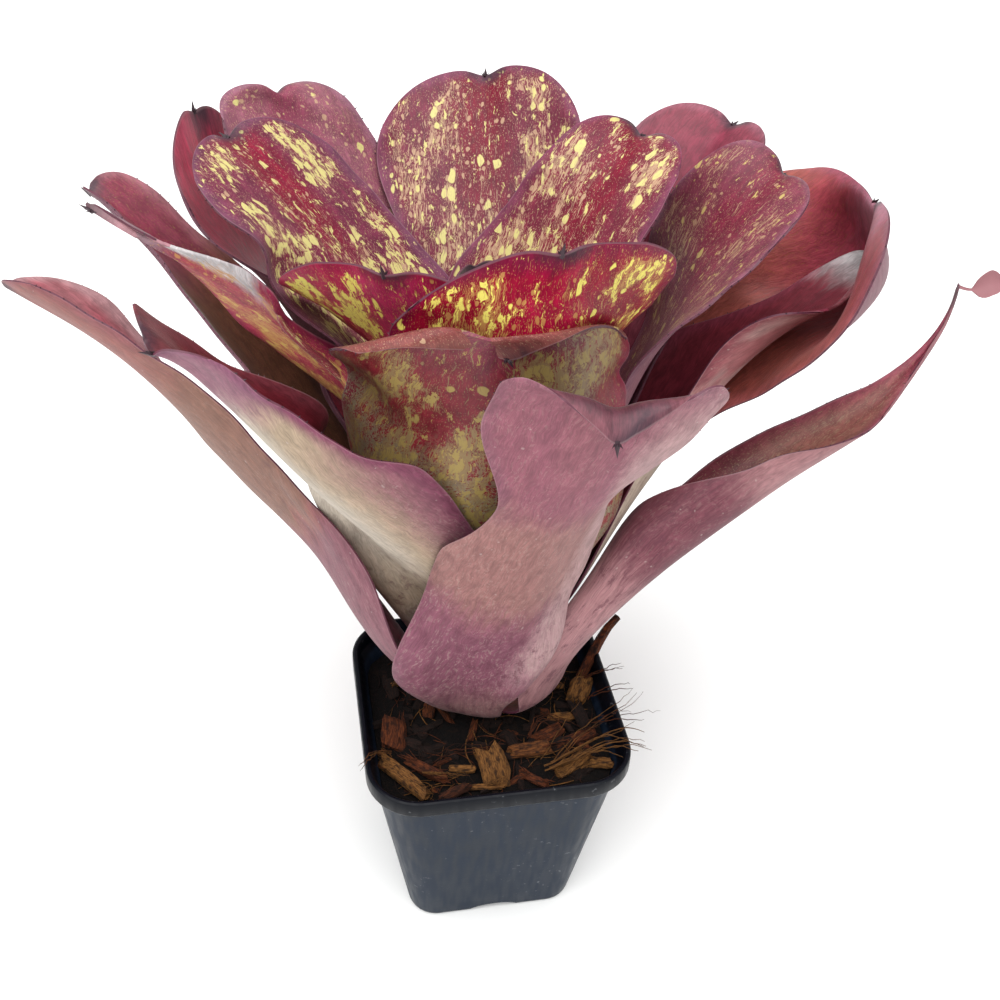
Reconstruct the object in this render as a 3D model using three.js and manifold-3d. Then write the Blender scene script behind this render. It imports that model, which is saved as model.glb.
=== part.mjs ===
// A neoregelia bromeliad growing in a small square nursery pot, as a three.js scene graph.
// Millimetres, +Z up. The origin is the centre of the pot's underside, and the pot's sides lie along X and Y.
import * as THREE from "three";
import { mergeVertices } from "three/addons/utils/BufferGeometryUtils.js";
import Module from "manifold-3d";

const wasm = await Module();
wasm.setup();

// ---- Driving dimensions -------------------------------------------------------------------------
const POT_HALF = 35; // half the rim's outer width: a 70 mm pot
const POT_HEIGHT = 63;
const POT_BASE_HALF = 23.5; // half the outer width at the bottom
const POT_CORNER = 14; // corner radius at the rim
const POT_BASE_CORNER = 8;
const POT_WALL = 1.3;
const RIM_BAND = 5.5; // height of the thicker band round the rim
const RIM_STEP = 1.2; // how far the band stands out past the wall below it
const FOOT_ARCH_WIDTH = 14; // the arch in the bottom edge of each side, between the feet
const FOOT_ARCH_HEIGHT = 2.6;
const FOOT_ARCH_DEPTH = 6;
const POT_FLOOR = 4; // height of the floor inside
const DRAIN_RADIUS = 3;
const DRAIN_REACH = 20; // how far the drain holes are from the middle
const MIX_LEVEL = 55; // height of the potting mix's flat top
const FIT_GAP = 0.3; // the gap between touching pieces

const LEAF_THICKNESS = 0.8;
const LEAF_EDGE = 0.6; // thickness at the leaf's margin
const LEAF_STACK = 1.25; // the least spacing of leaves that lie on one another
const PLANT_TURN = -11.75; // how far the rosette is turned in its pot, degrees
const PLANT_X = -2; // where the rosette stands in its pot, in the rosette's own directions
const PLANT_Y = 12;

const STEM_FOOT = 40; // how deep the stem's foot stands in the mix (height above the bottom)
const STEM_BASE_Z = 55; // where the stem comes out of the mix
const STEM_TOP_Z = 96;
const FIRST_LEAF_Z = 56.2; // where the oldest leaf's midrib leaves the stem
const LAST_LEAF_Z = 94.2; // and where the youngest would
const STEM_BASE_RADIUS = 7;
const STEM_TOP_RADIUS = 2.5;
const LAYERS = 24; // leaf layers up the stem, oldest first
const OUTER_LAYERS = 10; // the layers that show mostly their mauve undersides
const SHEATH_WRAP = 1.08; // the sheath's half-angle round the stem, radians
const SWELL_RISE = 0.65; // how far they rise for that
const SWELL_BEND = 0.4; // how far back the swelling takes on the rise of the blade
const MIDRIB_STEPS = 40;

const NECK_START = -5; // the leaf narrows from here, past the sheath's widest place,
const NECK_END = 35; // to its neck here
const TIP_SPAN = 0.85; // how much of the blunt end the last row covers
const BLUNT = 2.2; // the tip's outline is a superellipse of this power
const NOTCH = 1.5; // how deep the tip is notched at the midrib
const NOTCH_SPAN = 0.15; // how wide the notch is, as a fraction of the half-width
const GROOVE = 1.6; // how deep the midrib's groove is near the tip
const GROOVE_SPAN = 0.2;
const ROLL = 18; // length of leaf that rolls outwards at the tip
const ROLL_SPAN = 0.75; // how much of the half-width rolls

const rad = THREE.MathUtils.degToRad;
const mix = THREE.MathUtils.lerp;
const smooth = (low, high, t) => THREE.MathUtils.smoothstep(t, low, high);

const stemRadius = (z) => {
  const up = (z - STEM_BASE_Z) / (STEM_TOP_Z - STEM_BASE_Z);
  return mix(STEM_BASE_RADIUS, STEM_TOP_RADIUS, up);
};

// ---- Leaves -------------------------------------------------------------------------------------
// The columns. The midrib: the leaf's layer (0 is the oldest and outermost), how far its sheath swells out, azimuth
// at the base and at the tip, the tip's reach from the axis and its height, the midrib's rise at the base and at
// the tip in degrees, and how far it keeps each as a fraction of its chord. The blade: its width, the sheath's and
// the neck's width as fractions of it, how far up the sheath ends, how far the sheath, neck and tip stand off
// centre as a fraction of their half-width, the half-angle through which it is channelled and its twist, at the
// middle and at the tip, the blunt tip's length as a fraction of the half-width, how much the tip narrows, how far
// one side of it is ahead, and how far its middle is rolled outwards.
const COLUMNS = [
  ...["name", "layer", "swell", "azBase", "azTip", "reach", "height", "riseBase", "riseTip", "hold", "tipHold"],
  ...["width", "sheathed", "necked", "sheathLength", "leanSheath", "leanNeck", "leanTip"],
  ...["wrapMid", "wrapTip", "twistMid", "twistTip", "tipLength", "taper", "skew", "curl"],
];
const LEAVES = [
  [...["leaf_front_outer", 0, 12, -112.9, -58.6, 56.5, 191.2, 64.8, 74, 0.17, 0.25],
    ...[42.6, 1.16, 0.35, 80.3, 0.22, 0.81, -0.14, 64, 3, -5.7, -27.2, 0.55, -0.04, -3.6, 8.8]],
  [...["leaf_right_long", 1, 16.5, -16.6, 20.7, 128.9, 161.8, 79, 96.5, 0.31, 0.25],
    ...[26.6, 1.8, 1.31, 62.3, -0.45, -0.11, -0.14, 77.9, 109.4, -4.9, 54, 1.6, 0.98, -3.4, -3]],
  [...["leaf_left_long", 2, 13, -170.9, 165.3, 131, 158.6, 56.6, 16.1, 0.31, 0.31],
    ...[34.1, 1.4, 0.96, 55.2, 0.52, 0.15, -0.04, 18.4, 48.2, 54.6, 29, 1.39, -0.02, 2.3, -0.4]],
  [...["leaf_back_low_left", 3, 13.8, 120, 120, 112, 150, 50, 20, 0.3, 0.34],
    ...[44, 1.05, 0.75, 45, 0, 0, 0, 45, 30, 0, 0, 1.3, 0, 0, 3]],
  [...["leaf_back_low", 4, 12.5, 93, 93, 112, 148, 50, 20, 0.3, 0.34],
    ...[44, 1.05, 0.75, 45, 0, 0, 0, 45, 30, 0, 0, 1.3, 0, 0, 3]],
  [...["leaf_back_low_right", 5, 11.3, 62, 64, 110, 152, 50, 20, 0.3, 0.34],
    ...[44, 1.05, 0.75, 45, 0, 0, 0, 45, 30, 0, 0, 1.3, 0, 0, 3]],
  [...["leaf_left_front", 6, 6, -111.8, -150.7, 77.6, 189.5, 83.2, 60.8, 0.29, 0.47],
    ...[55.5, 0.97, 0.84, 90.2, 0.24, -0.28, 0.2, 95, 81.3, -14, 14.2, 0.5, 0.59, 6.4, 3.1]],
  [...["leaf_right_outer", 7, 9, 44.8, 19.9, 95, 197.5, 78.3, 69.1, 0.38, 0.3],
    ...[80.7, 0.5, 0.35, 27, -0.16, 0.73, 0.23, 42.6, 3, 14.9, -22.8, 0.5, -0.1, 1.2, 3.5]],
  [...["leaf_right_folded", 8, 8, -14, 27.6, 120.7, 173.8, 68.9, -2.3, 0.21, 0.26],
    ...[51.6, 0.9, 1.49, 100.2, 0.31, 0.29, -0.5, 85.4, 18.1, -29.6, 14.6, 1.31, 0.81, -1.7, 14]],
  [...["leaf_left_outer", 9, 7, 173, 161.2, 108.1, 188, 63.5, 31.7, 0.43, 0.24],
    ...[36.3, 1.13, 1.1, 41.2, -0.01, -0.08, 0, 29.2, 64.4, 12.3, 13.2, 0.94, 0.34, 2, 1.4]],
  [...["leaf_back_left_outer", 10, 6.1, 140.9, 150.8, 85.6, 195.3, 61.2, 61.8, 0.35, 0.37],
    ...[48, 1.15, 0.75, 45.7, 0, 0.14, 0.11, 45.5, 15.1, 49.2, 10, 1.4, -0.05, -1.1, -5.7]],
  [...["leaf_back_right_outer", 11, 5.3, 50.5, 48.3, 91.7, 202.4, 62.8, 32.8, 0.4, 0.19],
    ...[46.1, 0.99, 0.63, 41.7, 0.01, -0.04, 0.04, 46, 32.1, -1.2, -3.2, 1.36, 0.04, -1.4, 2.3]],
  [...["leaf_front_inner", 12, 4.5, -96.3, -90.4, 33.4, 200.1, 92.9, 37.5, 0.48, 0.12],
    ...[62.3, 1.46, 0.78, 51, 0.01, -0.16, -0.14, 58.7, 15.6, 7.7, 36.9, 1.36, 0.02, 8, 9]],
  [...["leaf_left_marked", 13, 3.8, -184.63, 182.25, 87.66, 196.39, 110.49, 30.7, 0.45, 0.15],
    ...[49.36, 1.28, 0.81, 63.1, -0.24, 0.03, -0.04, 59.09, 34.8, 67.56, 60.33, 0.73, 1.06, -2.2, -0.8]],
  [...["leaf_right", 14, 3.1, 23.1, 27.3, 81.4, 202.4, 63.3, 19.2, 0.43, 0.19],
    ...[64.2, 0.85, 0.77, 49, 0.04, -0.12, 0, 18.2, 37.4, -36.3, 18.5, 1.37, 0.35, -0.6, 3.7]],
  [...["leaf_back_left", 15, 2.5, 131, 135.5, 83.2, 210.5, 70.4, 21.1, 0.46, 0.25],
    ...[46.3, 1.06, 0.71, 45.2, -0.03, -0.01, 0.04, 27.9, 6.6, 16.8, 19.1, 1.38, 0.16, 2.1, 4]],
  [...["leaf_back", 16, 2, 92.8, 94.3, 79.8, 207.6, 75.9, 40.5, 0.45, 0.21],
    ...[56.8, 0.9, 0.63, 37.3, -0.07, -0.15, 0.04, 36.2, 22.7, -2, -15.2, 1.29, 0, -0.4, 1.5]],
  [...["leaf_back_left_inner", 17.5, 1.3, 153.9, 152.8, 75, 205.1, 80.4, 38.2, 0.52, 0.4],
    ...[48.2, 1.14, 0.94, 43.9, 0.02, -0.19, 0.01, 31.8, -6.7, 9, 1.6, 1.14, -0.02, 0.1, 2.2]],
  [...["leaf_back_right_inner", 18.5, 0.9, 61.5, 52.6, 57.7, 206.8, 85.7, 16.6, 0.51, 0.25],
    ...[49.5, 0.93, 0.88, 51.7, 0.06, 0.37, -0.09, 40.9, 3.1, -15.3, 10, 1.29, 0.28, 1.3, 2.6]],
  [...["leaf_heart_right", 19.5, 0.6, -69.9, -66.4, 34.6, 203, 78.9, 63.6, 0.39, 0.29],
    ...[63.3, 1.03, 0.72, 40, 0.07, 0.1, -0.04, 49.2, 14.6, 7.3, -7.2, 0.85, 0.01, -5.7, -1.6]],
  [...["leaf_heart_left", 20.5, 0.4, -139.8, -132.6, 30.9, 193.7, 82.8, 63.2, 0.25, 0.37],
    ...[59.4, 0.94, 0.67, 41.2, 0.05, -0.07, -0.06, 38, 4, 2.6, 23.3, 0.96, -0.19, 4.6, -0.9]],
  [...["leaf_heart", 22, 0.1, 100, 120, 8, 184, 80, 85, 0.3, 0.34],
    ...[26, 0.9, 0.85, 45, 0, 0, 0, 80, 60, 0, 0, 1.3, 0, 0, 1]],
].map((row) => Object.fromEntries(COLUMNS.map((column, n) => [column, row[n]])));

// The midrib as evenly spaced points: it swells out from the stem, then rises to the tip on a Bezier curve.
function midrib({ layer, azBase, azTip, reach, height, riseBase, riseTip, hold, tipHold, swell }) {
  const z0 = FIRST_LEAF_Z + (layer / LAYERS) * (LAST_LEAF_Z - FIRST_LEAF_Z);
  const r0 = stemRadius(z0) + FIT_GAP + LEAF_THICKNESS / 2;
  const at = (az, r, z) => new THREE.Vector3(r * Math.cos(rad(az)), r * Math.sin(rad(az)), z);
  const toward = (az, rise) => at(az, Math.cos(rad(rise)), Math.sin(rad(rise)));
  const start = at(azBase, r0, z0);
  const foot = at(azBase, r0 + swell, z0 + SWELL_RISE * swell);
  const end = at(azTip, reach, height);
  const chord = foot.distanceTo(end);
  const swelling = new THREE.QuadraticBezierCurve3(
    start,
    foot.clone().addScaledVector(toward(azBase, riseBase), -SWELL_BEND * swell),
    foot
  );
  const blade = new THREE.CubicBezierCurve3(
    foot,
    foot.clone().addScaledVector(toward(azBase, riseBase), hold * chord),
    end.clone().addScaledVector(toward(azTip, riseTip), -tipHold * chord),
    end
  );
  const rough = [...swelling.getPoints(12), ...blade.getPoints(60).slice(1)];
  const reached = [0];
  for (let i = 1; i < rough.length; i++) {
    reached.push(reached[i - 1] + rough[i].distanceTo(rough[i - 1]));
  }
  const length = reached[reached.length - 1];
  const points = [];
  for (let n = 0, i = 1; n <= MIDRIB_STEPS; n++) {
    const s = (length * n) / MIDRIB_STEPS;
    while (i < rough.length - 1 && reached[i] < s) i++;
    const past = (s - reached[i - 1]) / (reached[i] - reached[i - 1]);
    points.push(rough[i - 1].clone().lerp(rough[i], past));
  }
  return { points, length };
}

// The midrib's point and direction at the distance s from its base.
function onMidrib({ points, length }, s) {
  const n = Math.max(0, Math.min(MIDRIB_STEPS - 0.001, (s / length) * MIDRIB_STEPS));
  const i = Math.floor(n);
  const before = points[Math.max(0, i - 1)];
  const after = points[Math.min(MIDRIB_STEPS, i + 2)];
  return [points[i].clone().lerp(points[i + 1], n - i), after.clone().sub(before).normalize()];
}

// where the rows of points lie along the leaf, closest at the tip
const ROWS = [0, 0.05, 0.12, 0.2, 0.29, 0.38, 0.48, 0.58, 0.68, 0.77, 0.85, 0.91, 0.96, 1];
const ALONG = ROWS.length - 1; // rows of faces from base to tip
const ACROSS = 6; // columns of faces from margin to margin

// How far the tip's outline has dropped back at the fraction x of the half-width, in lengths of the tip.
const tipDrop = (x) => 1 - (1 - Math.abs(x) ** BLUNT) ** (1 / BLUNT);

// The blade's middle surface at (u, v): u from -1 to 1 across, v from 0 to 1 along.
function bladePoint(leaf, rib, u, v) {
  const { azBase, azTip, sheathed, sheathLength, necked, curl } = leaf;
  const half = leaf.width / 2;
  const { length } = rib;
  const tipLength = leaf.tipLength * half;
  const ease = smooth(0.55, 1, v);
  const notch = NOTCH * Math.exp(-((u / NOTCH_SPAN) ** 2)) * smooth(0.85, 1, v);
  const ahead = -leaf.skew * u * smooth(0.6, 1, v);
  const s = v * (length - ease * tipLength * tipDrop(TIP_SPAN * u)) - notch + ahead;
  const sMargin = v * (length - ease * tipLength * tipDrop(TIP_SPAN));
  // half-width at this row: sheath, neck, strap and blunt tip
  const foot = 1.1 * (stemRadius(STEM_BASE_Z + leaf.layer) + 2);
  const neck = smooth(sheathLength + NECK_START, sheathLength + NECK_END, s);
  const strap = smooth(0.5 * length, 0.82 * length, s);
  let w = mix(foot, half * sheathed, smooth(0, sheathLength, s));
  w = mix(mix(w, half * necked, neck), half, strap);
  const back = Math.max(0, 1 - (length - sMargin) / tipLength);
  w *= (1 - back ** BLUNT) ** (1 / BLUNT) * (1 - leaf.taper * smooth(0.55, 1, v));
  const t = Math.min(1, s / length);
  const [m, tangent] = onMidrib(rib, s);
  const r = Math.hypot(m.x, m.y);
  w = mix(Math.min(w, SHEATH_WRAP * sheathed * r), w, smooth(0.3, 0.6, t)); // low down it only clasps the stem
  const lean = mix(mix(leaf.leanSheath, leaf.leanNeck, neck), leaf.leanTip, strap);
  const x = (u + lean) * w;
  const turned = THREE.MathUtils.euclideanModulo(azTip - azBase + 180, 360) - 180;
  const az = rad(azBase + turned * smooth(0, 0.8, t));
  const side = new THREE.Vector3(-Math.sin(az), Math.cos(az), 0);
  side.addScaledVector(tangent, -side.dot(tangent)).normalize();
  const twist = rad(mix(leaf.twistMid * smooth(0.1, 0.55, t), leaf.twistTip, smooth(0.55, 1, t)));
  side.applyAxisAngle(tangent, twist);
  const up = new THREE.Vector3().crossVectors(tangent, side);
  // blade: an arc in the plane across the midrib
  const wrap = rad(mix(leaf.wrapMid, leaf.wrapTip, smooth(0.5, 1, t)));
  const k = wrap / half;
  const blade = m.clone()
    .addScaledVector(side, Math.sin(k * x) / k)
    .addScaledVector(up, (1 - Math.cos(k * x)) / k);
  // sheath: an arc round the axis, level with the midrib
  const psi = Math.atan2(m.y, m.x) + x / Math.max(r, 6);
  const sheath = new THREE.Vector3(r * Math.cos(psi), r * Math.sin(psi), m.z);
  const p = blade.lerp(sheath, 1 - smooth(0.1, 0.4, t));
  // tip: the middle of the end rolls outwards and back, and is pinched along the midrib
  const e = Math.max(0, 1 - (1 - v) * (length / ROLL));
  const middle = Math.exp(-((u / ROLL_SPAN) ** 2)) * e * e;
  p.addScaledVector(up, -curl * middle).addScaledVector(tangent, -1.4 * curl * middle * e);
  p.addScaledVector(up, -GROOVE * Math.exp(-((u / GROOVE_SPAN) ** 2)) * smooth(0.75, 1, v));
  return p;
}

// Leaves nest: each is held outside every younger leaf it lies on. Seen from a point low on the axis, a leaf's
// points have a distance, an azimuth and an elevation, and an older leaf is pressed below the younger.
const NEST_Z = 8; // the height of that point
const NEST_RINGS = 150;
const NEST_RING = 2; // width of a ring of distances
const NEST_SECTORS = 180;
const nest = new Float64Array(NEST_RINGS * NEST_SECTORS).fill(Infinity);

function polar(p) {
  const r = Math.hypot(p.x, p.y);
  return [Math.hypot(r, p.z - NEST_Z), Math.atan2(p.y, p.x), Math.atan2(p.z - NEST_Z, r)];
}

function nestCell(distance, azimuth) {
  const ring = Math.min(NEST_RINGS - 1, Math.round(distance / NEST_RING));
  const sector = Math.round((azimuth / (2 * Math.PI)) * NEST_SECTORS + NEST_SECTORS) % NEST_SECTORS;
  return ring * NEST_SECTORS + sector;
}

// Visit points spread over every face of a leaf.
function eachCell(grid, visit) {
  const FINE = 8;
  const q = new THREE.Vector3();
  for (let j = 0; j < ALONG; j++) {
    for (let i = 0; i < ACROSS; i++) {
      for (let a = 0; a <= FINE; a++) {
        for (let b = 0; b <= FINE; b++) {
          const near = grid[j][i].clone().lerp(grid[j][i + 1], b / FINE);
          const far = grid[j + 1][i].clone().lerp(grid[j + 1][i + 1], b / FINE);
          visit(q.copy(near).lerp(far, a / FINE), j, i);
        }
      }
    }
  }
}

function leafGrid(leaf) {
  const rib = midrib(leaf);
  const grid = [];
  for (let j = 0; j <= ALONG; j++) {
    grid.push([]);
    for (let i = 0; i <= ACROSS; i++) {
      grid[j].push(bladePoint(leaf, rib, (2 * i) / ACROSS - 1, ROWS[j]));
    }
  }
  // how far each point must be pressed down so that the faces round it are clear
  const press = grid.map((line) => line.map(() => 0));
  eachCell(grid, (q, j, i) => {
    const [distance, azimuth, elevation] = polar(q);
    const need = Math.max(0, (elevation - nest[nestCell(distance, azimuth)]) * distance + LEAF_STACK);
    for (const [b, a] of [[j, i], [j, i + 1], [j + 1, i], [j + 1, i + 1]]) {
      press[b][a] = Math.max(press[b][a], need);
    }
  });
  // spread to the neighbours, so that the leaf stays smooth
  for (let pass = 0; pass < 3; pass++) {
    const before = press.map((line) => [...line]);
    press.forEach((line, j) => line.forEach((value, i) => {
      const around = [before[j - 1]?.[i], before[j + 1]?.[i], before[j][i - 1], before[j][i + 1]];
      const near = around.filter((other) => other !== undefined);
      const mean = near.reduce((sum, other) => sum + other, 0) / near.length;
      press[j][i] = Math.max(value, 0.35 * Math.max(...near) + 0.5 * mean);
    }));
  }
  grid.forEach((line, j) => line.forEach((p, i) => {
    const [distance, azimuth, elevation] = polar(p);
    const lower = elevation - (press[j][i] * Math.min(1, j / 2)) / distance;
    p.set(
      distance * Math.cos(lower) * Math.cos(azimuth),
      distance * Math.cos(lower) * Math.sin(azimuth),
      NEST_Z + distance * Math.sin(lower)
    );
  }));
  eachCell(grid, (q) => {
    const [distance, azimuth, elevation] = polar(q);
    const at = nestCell(distance, azimuth);
    nest[at] = Math.min(nest[at], elevation);
  });
  return grid;
}

function leafGeometry(leaf) {
  const grid = leafGrid(leaf);
  const clampI = (i) => Math.max(0, Math.min(ACROSS, i));
  const clampJ = (j) => Math.max(0, Math.min(ALONG, j));
  const position = [];
  const number = (i, j, face) => (j * (ACROSS + 1) + i) * 2 + face;
  for (let j = 0; j <= ALONG; j++) {
    for (let i = 0; i <= ACROSS; i++) {
      const across = grid[j][clampI(i + 1)].clone().sub(grid[j][clampI(i - 1)]);
      const along = grid[clampJ(j + 1)][i].clone().sub(grid[clampJ(j - 1)][i]);
      const normal = across.clone().cross(along).negate().normalize();
      const edge = i === 0 || i === ACROSS || j === ALONG;
      const thick = edge ? LEAF_EDGE : LEAF_THICKNESS;
      for (const face of [0.5, -0.5]) {
        const q = grid[j][i].clone().addScaledVector(normal, thick * face);
        position.push(q.x, q.y, q.z);
      }
    }
  }
  const index = [];
  const quad = (a, b, c, d) => index.push(a, b, c, a, c, d);
  for (let j = 0; j < ALONG; j++) {
    for (let i = 0; i < ACROSS; i++) {
      // the same diagonal on both faces
      const [a, b, c, d] = [[i, j], [i + 1, j], [i + 1, j + 1], [i, j + 1]];
      const top = [a, b, c, d].map(([x, y]) => number(x, y, 0));
      const low = [a, b, c, d].map(([x, y]) => number(x, y, 1));
      index.push(top[0], top[2], top[1], top[0], top[3], top[2]);
      index.push(low[0], low[1], low[2], low[0], low[2], low[3]);
    }
  }
  const rim = [];
  for (let i = 0; i < ACROSS; i++) rim.push([i, 0]);
  for (let j = 0; j < ALONG; j++) rim.push([ACROSS, j]);
  for (let i = ACROSS; i > 0; i--) rim.push([i, ALONG]);
  for (let j = ALONG; j > 0; j--) rim.push([0, j]);
  rim.forEach(([i, j], n) => {
    const [i2, j2] = rim[(n + 1) % rim.length];
    quad(number(i, j, 1), number(i, j, 0), number(i2, j2, 0), number(i2, j2, 1));
  });
  const geometry = new THREE.BufferGeometry();
  geometry.setAttribute("position", new THREE.Float32BufferAttribute(position, 3));
  geometry.setIndex(index);
  return geometry;
}

// ---- Pot, stem and potting mix ------------------------------------------------------------------
const CORNER_STEPS = 5;

// A rounded square as points, anticlockwise from above.
function roundedSquare(half, corner, z) {
  const points = [];
  for (let quarter = 0; quarter < 4; quarter++) {
    for (let n = 0; n <= CORNER_STEPS; n++) {
      const a = (quarter + n / CORNER_STEPS) * (Math.PI / 2);
      const cx = (half - corner) * (quarter === 0 || quarter === 3 ? 1 : -1);
      const cy = (half - corner) * (quarter < 2 ? 1 : -1);
      points.push([cx + corner * Math.cos(a), cy + corner * Math.sin(a), z]);
    }
  }
  return points;
}

// A closed body through rings of points, the first ring at the bottom and the last closed over.
function loft(rings) {
  const n = rings[0].length;
  const position = rings.flat(2);
  const index = [];
  for (let r = 0; r < rings.length - 1; r++) {
    for (let i = 0; i < n; i++) {
      const [a, b] = [r * n + i, r * n + ((i + 1) % n)];
      index.push(a, b, b + n, a, b + n, a + n);
    }
  }
  const centre = (ring) => [0, 1, 2].map((k) => ring.reduce((sum, p) => sum + p[k], 0) / n);
  const [first, last] = [rings.length * n, rings.length * n + 1];
  position.push(...centre(rings[0]), ...centre(rings[rings.length - 1]));
  for (let i = 0; i < n; i++) {
    const next = (i + 1) % n;
    index.push(first, next, i);
    index.push(last, (rings.length - 1) * n + i, (rings.length - 1) * n + next);
  }
  const geometry = new THREE.BufferGeometry();
  geometry.setAttribute("position", new THREE.Float32BufferAttribute(position, 3));
  geometry.setIndex(index);
  return geometry;
}

const solid = (geometry) => {
  const bare = new THREE.BufferGeometry();
  bare.setAttribute("position", geometry.getAttribute("position"));
  bare.setIndex(geometry.getIndex());
  const merged = mergeVertices(bare, 1e-4);
  const vertProperties = new Float32Array(merged.getAttribute("position").array);
  const triVerts = new Uint32Array(merged.getIndex().array);
  return new wasm.Manifold(new wasm.Mesh({ numProp: 3, vertProperties, triVerts }));
};

const fromSolid = (body) => {
  const mesh = body.getMesh();
  const geometry = new THREE.BufferGeometry();
  geometry.setAttribute("position", new THREE.Float32BufferAttribute(mesh.vertProperties, 3));
  geometry.setIndex(Array.from(mesh.triVerts));
  return geometry;
};

// The pot's wall as half-width and corner radius at a height.
const BAND_FOOT = POT_HEIGHT - RIM_BAND;
const wallHalf = (z) => mix(POT_BASE_HALF, POT_HALF - RIM_STEP, z / POT_HEIGHT);
const wallCorner = (z) => mix(POT_BASE_CORNER, POT_CORNER, z / POT_HEIGHT);
const wall = (z, inset) => roundedSquare(wallHalf(z) - inset, Math.max(2, wallCorner(z) - inset), z);
const band = (z, inset) => roundedSquare(POT_HALF - inset, POT_CORNER - inset, z);

function potGeometry() {
  const outside = loft([
    wall(0, 0.8),
    wall(0.8, 0),
    wall(BAND_FOOT, 0),
    band(BAND_FOOT + 0.5, 0.4),
    band(BAND_FOOT + 1.2, 0),
    band(POT_HEIGHT - 0.7, 0),
    band(POT_HEIGHT, 0.6),
  ]);
  const inside = loft([
    wall(POT_FLOOR, POT_WALL),
    wall(BAND_FOOT, POT_WALL),
    band(BAND_FOOT + 1.5, 2.0),
    band(POT_HEIGHT - 0.4, 1.8),
    band(POT_HEIGHT + 0.4, 1.4),
  ]);
  let pot = solid(outside).subtract(solid(inside));
  for (let side = 0; side < 4; side++) {
    // an arch in the bottom edge, between the feet
    const arch = new THREE.CylinderGeometry(FOOT_ARCH_HEIGHT, FOOT_ARCH_HEIGHT, FOOT_ARCH_DEPTH, 20);
    arch.scale(FOOT_ARCH_WIDTH / (2 * FOOT_ARCH_HEIGHT), 1, 1);
    arch.translate(0, POT_BASE_HALF + 1 - FOOT_ARCH_DEPTH / 2, 0);
    arch.rotateZ((side * Math.PI) / 2);
    // a drain hole near each corner
    const drain = new THREE.CylinderGeometry(DRAIN_RADIUS, DRAIN_RADIUS, 3 * POT_FLOOR, 16);
    drain.rotateX(Math.PI / 2);
    drain.translate(DRAIN_REACH, 0, 0);
    drain.rotateZ(((side + 0.5) * Math.PI) / 2);
    pot = pot.subtract(solid(arch)).subtract(solid(drain));
  }
  return fromSolid(pot);
}

// The stem: a short tapering trunk, its foot in the potting mix. With a gap all round, it is its own hole.
function stemGeometry(gap, foot, top) {
  const ring = (z, r) => {
    const points = [];
    for (let n = 0; n < 20; n++) {
      const a = (n / 20) * 2 * Math.PI;
      points.push([(r + gap) * Math.cos(a), (r + gap) * Math.sin(a), z]);
    }
    return points;
  };
  const rings = [ring(foot, STEM_BASE_RADIUS), ring(STEM_BASE_Z, STEM_BASE_RADIUS)];
  if (top > STEM_BASE_Z + 1) rings.push(ring(top, stemRadius(top)));
  return loft(rings);
}

// Bark chips lying in the mix: x, y and z of the middle, length, width, thickness, turn, tilt and roll in degrees.
const CHIPS = [
  [-20, -23, 54.9, 17, 6, 2.6, 40, 6, 12],
  [-5, -23.5, 55.4, 10, 8, 3.0, 100, 12, 15],
  [4, -21.5, 55.8, 11, 5, 2.6, -8, 5, 20],
  [-24.5, -8, 55.2, 10, 6, 2.6, 75, 8, 8],
  [-24, 6, 55.4, 12, 5, 2.4, 110, 6, 12],
  [-12, -25, 55.4, 9, 4, 2.2, 15, 10, 10],
  [14, -20, 55.4, 12, 5, 2.6, 55, 8, 14],
  [22, -12, 55.4, 11, 5, 2.4, 95, 6, 10],
  [24, -2, 55.8, 9, 6, 2.6, 60, 14, 10],
  [25, 12, 55.4, 13, 5, 2.4, 85, 8, 12],
  [21, 23, 55.4, 10, 6, 2.6, 30, 10, 8],
  [0, 26, 55.4, 14, 5, 2.4, 5, 8, 10],
  [-18, 22, 55.4, 12, 6, 2.6, -35, 8, 10],
];

// The rosette's axis in the pot's own directions.
const PLANT = new THREE.Vector3(PLANT_X, PLANT_Y, 0).applyAxisAngle(new THREE.Vector3(0, 0, 1), rad(PLANT_TURN));

function mixGeometry() {
  let body = solid(
    loft([
      wall(POT_FLOOR + FIT_GAP, POT_WALL + FIT_GAP),
      wall(MIX_LEVEL - 1.5, POT_WALL + FIT_GAP),
      wall(MIX_LEVEL, POT_WALL + FIT_GAP + 1.5),
    ])
  );
  for (const [x, y, z, long, wide, thick, turn, tilt, roll] of CHIPS) {
    // a splintered chip: a flat hexagon, pointed at both ends
    const chip = new THREE.CylinderGeometry(0.5, 0.5, 1, 6);
    chip.rotateX(Math.PI / 2);
    chip.scale(long, wide * 1.15, thick);
    chip.rotateX(rad(roll));
    chip.rotateY(rad(-tilt));
    chip.rotateZ(rad(turn));
    chip.translate(x, y, z);
    body = body.add(solid(chip));
  }
  const hole = stemGeometry(FIT_GAP, STEM_FOOT - FIT_GAP, MIX_LEVEL + 6);
  hole.translate(PLANT.x, PLANT.y, 0);
  return fromSolid(body.subtract(solid(hole)));
}

// ---- The whole plant ----------------------------------------------------------------------------
const finish = (name, color, roughness) => {
  const material = new THREE.MeshStandardMaterial({ color, roughness, metalness: 0 });
  material.name = name;
  return material;
};
const leafRed = finish("leaf_red", 0x8c2439, 0.45);
const leafMauve = finish("leaf_mauve", 0xa4687a, 0.55);
const stemGreen = finish("stem_green", 0x8a7f5a, 0.7);
const potPlastic = finish("pot_plastic", 0x1e2633, 0.4);
const barkMix = finish("bark_mix", 0x3b2619, 0.95);

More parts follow.
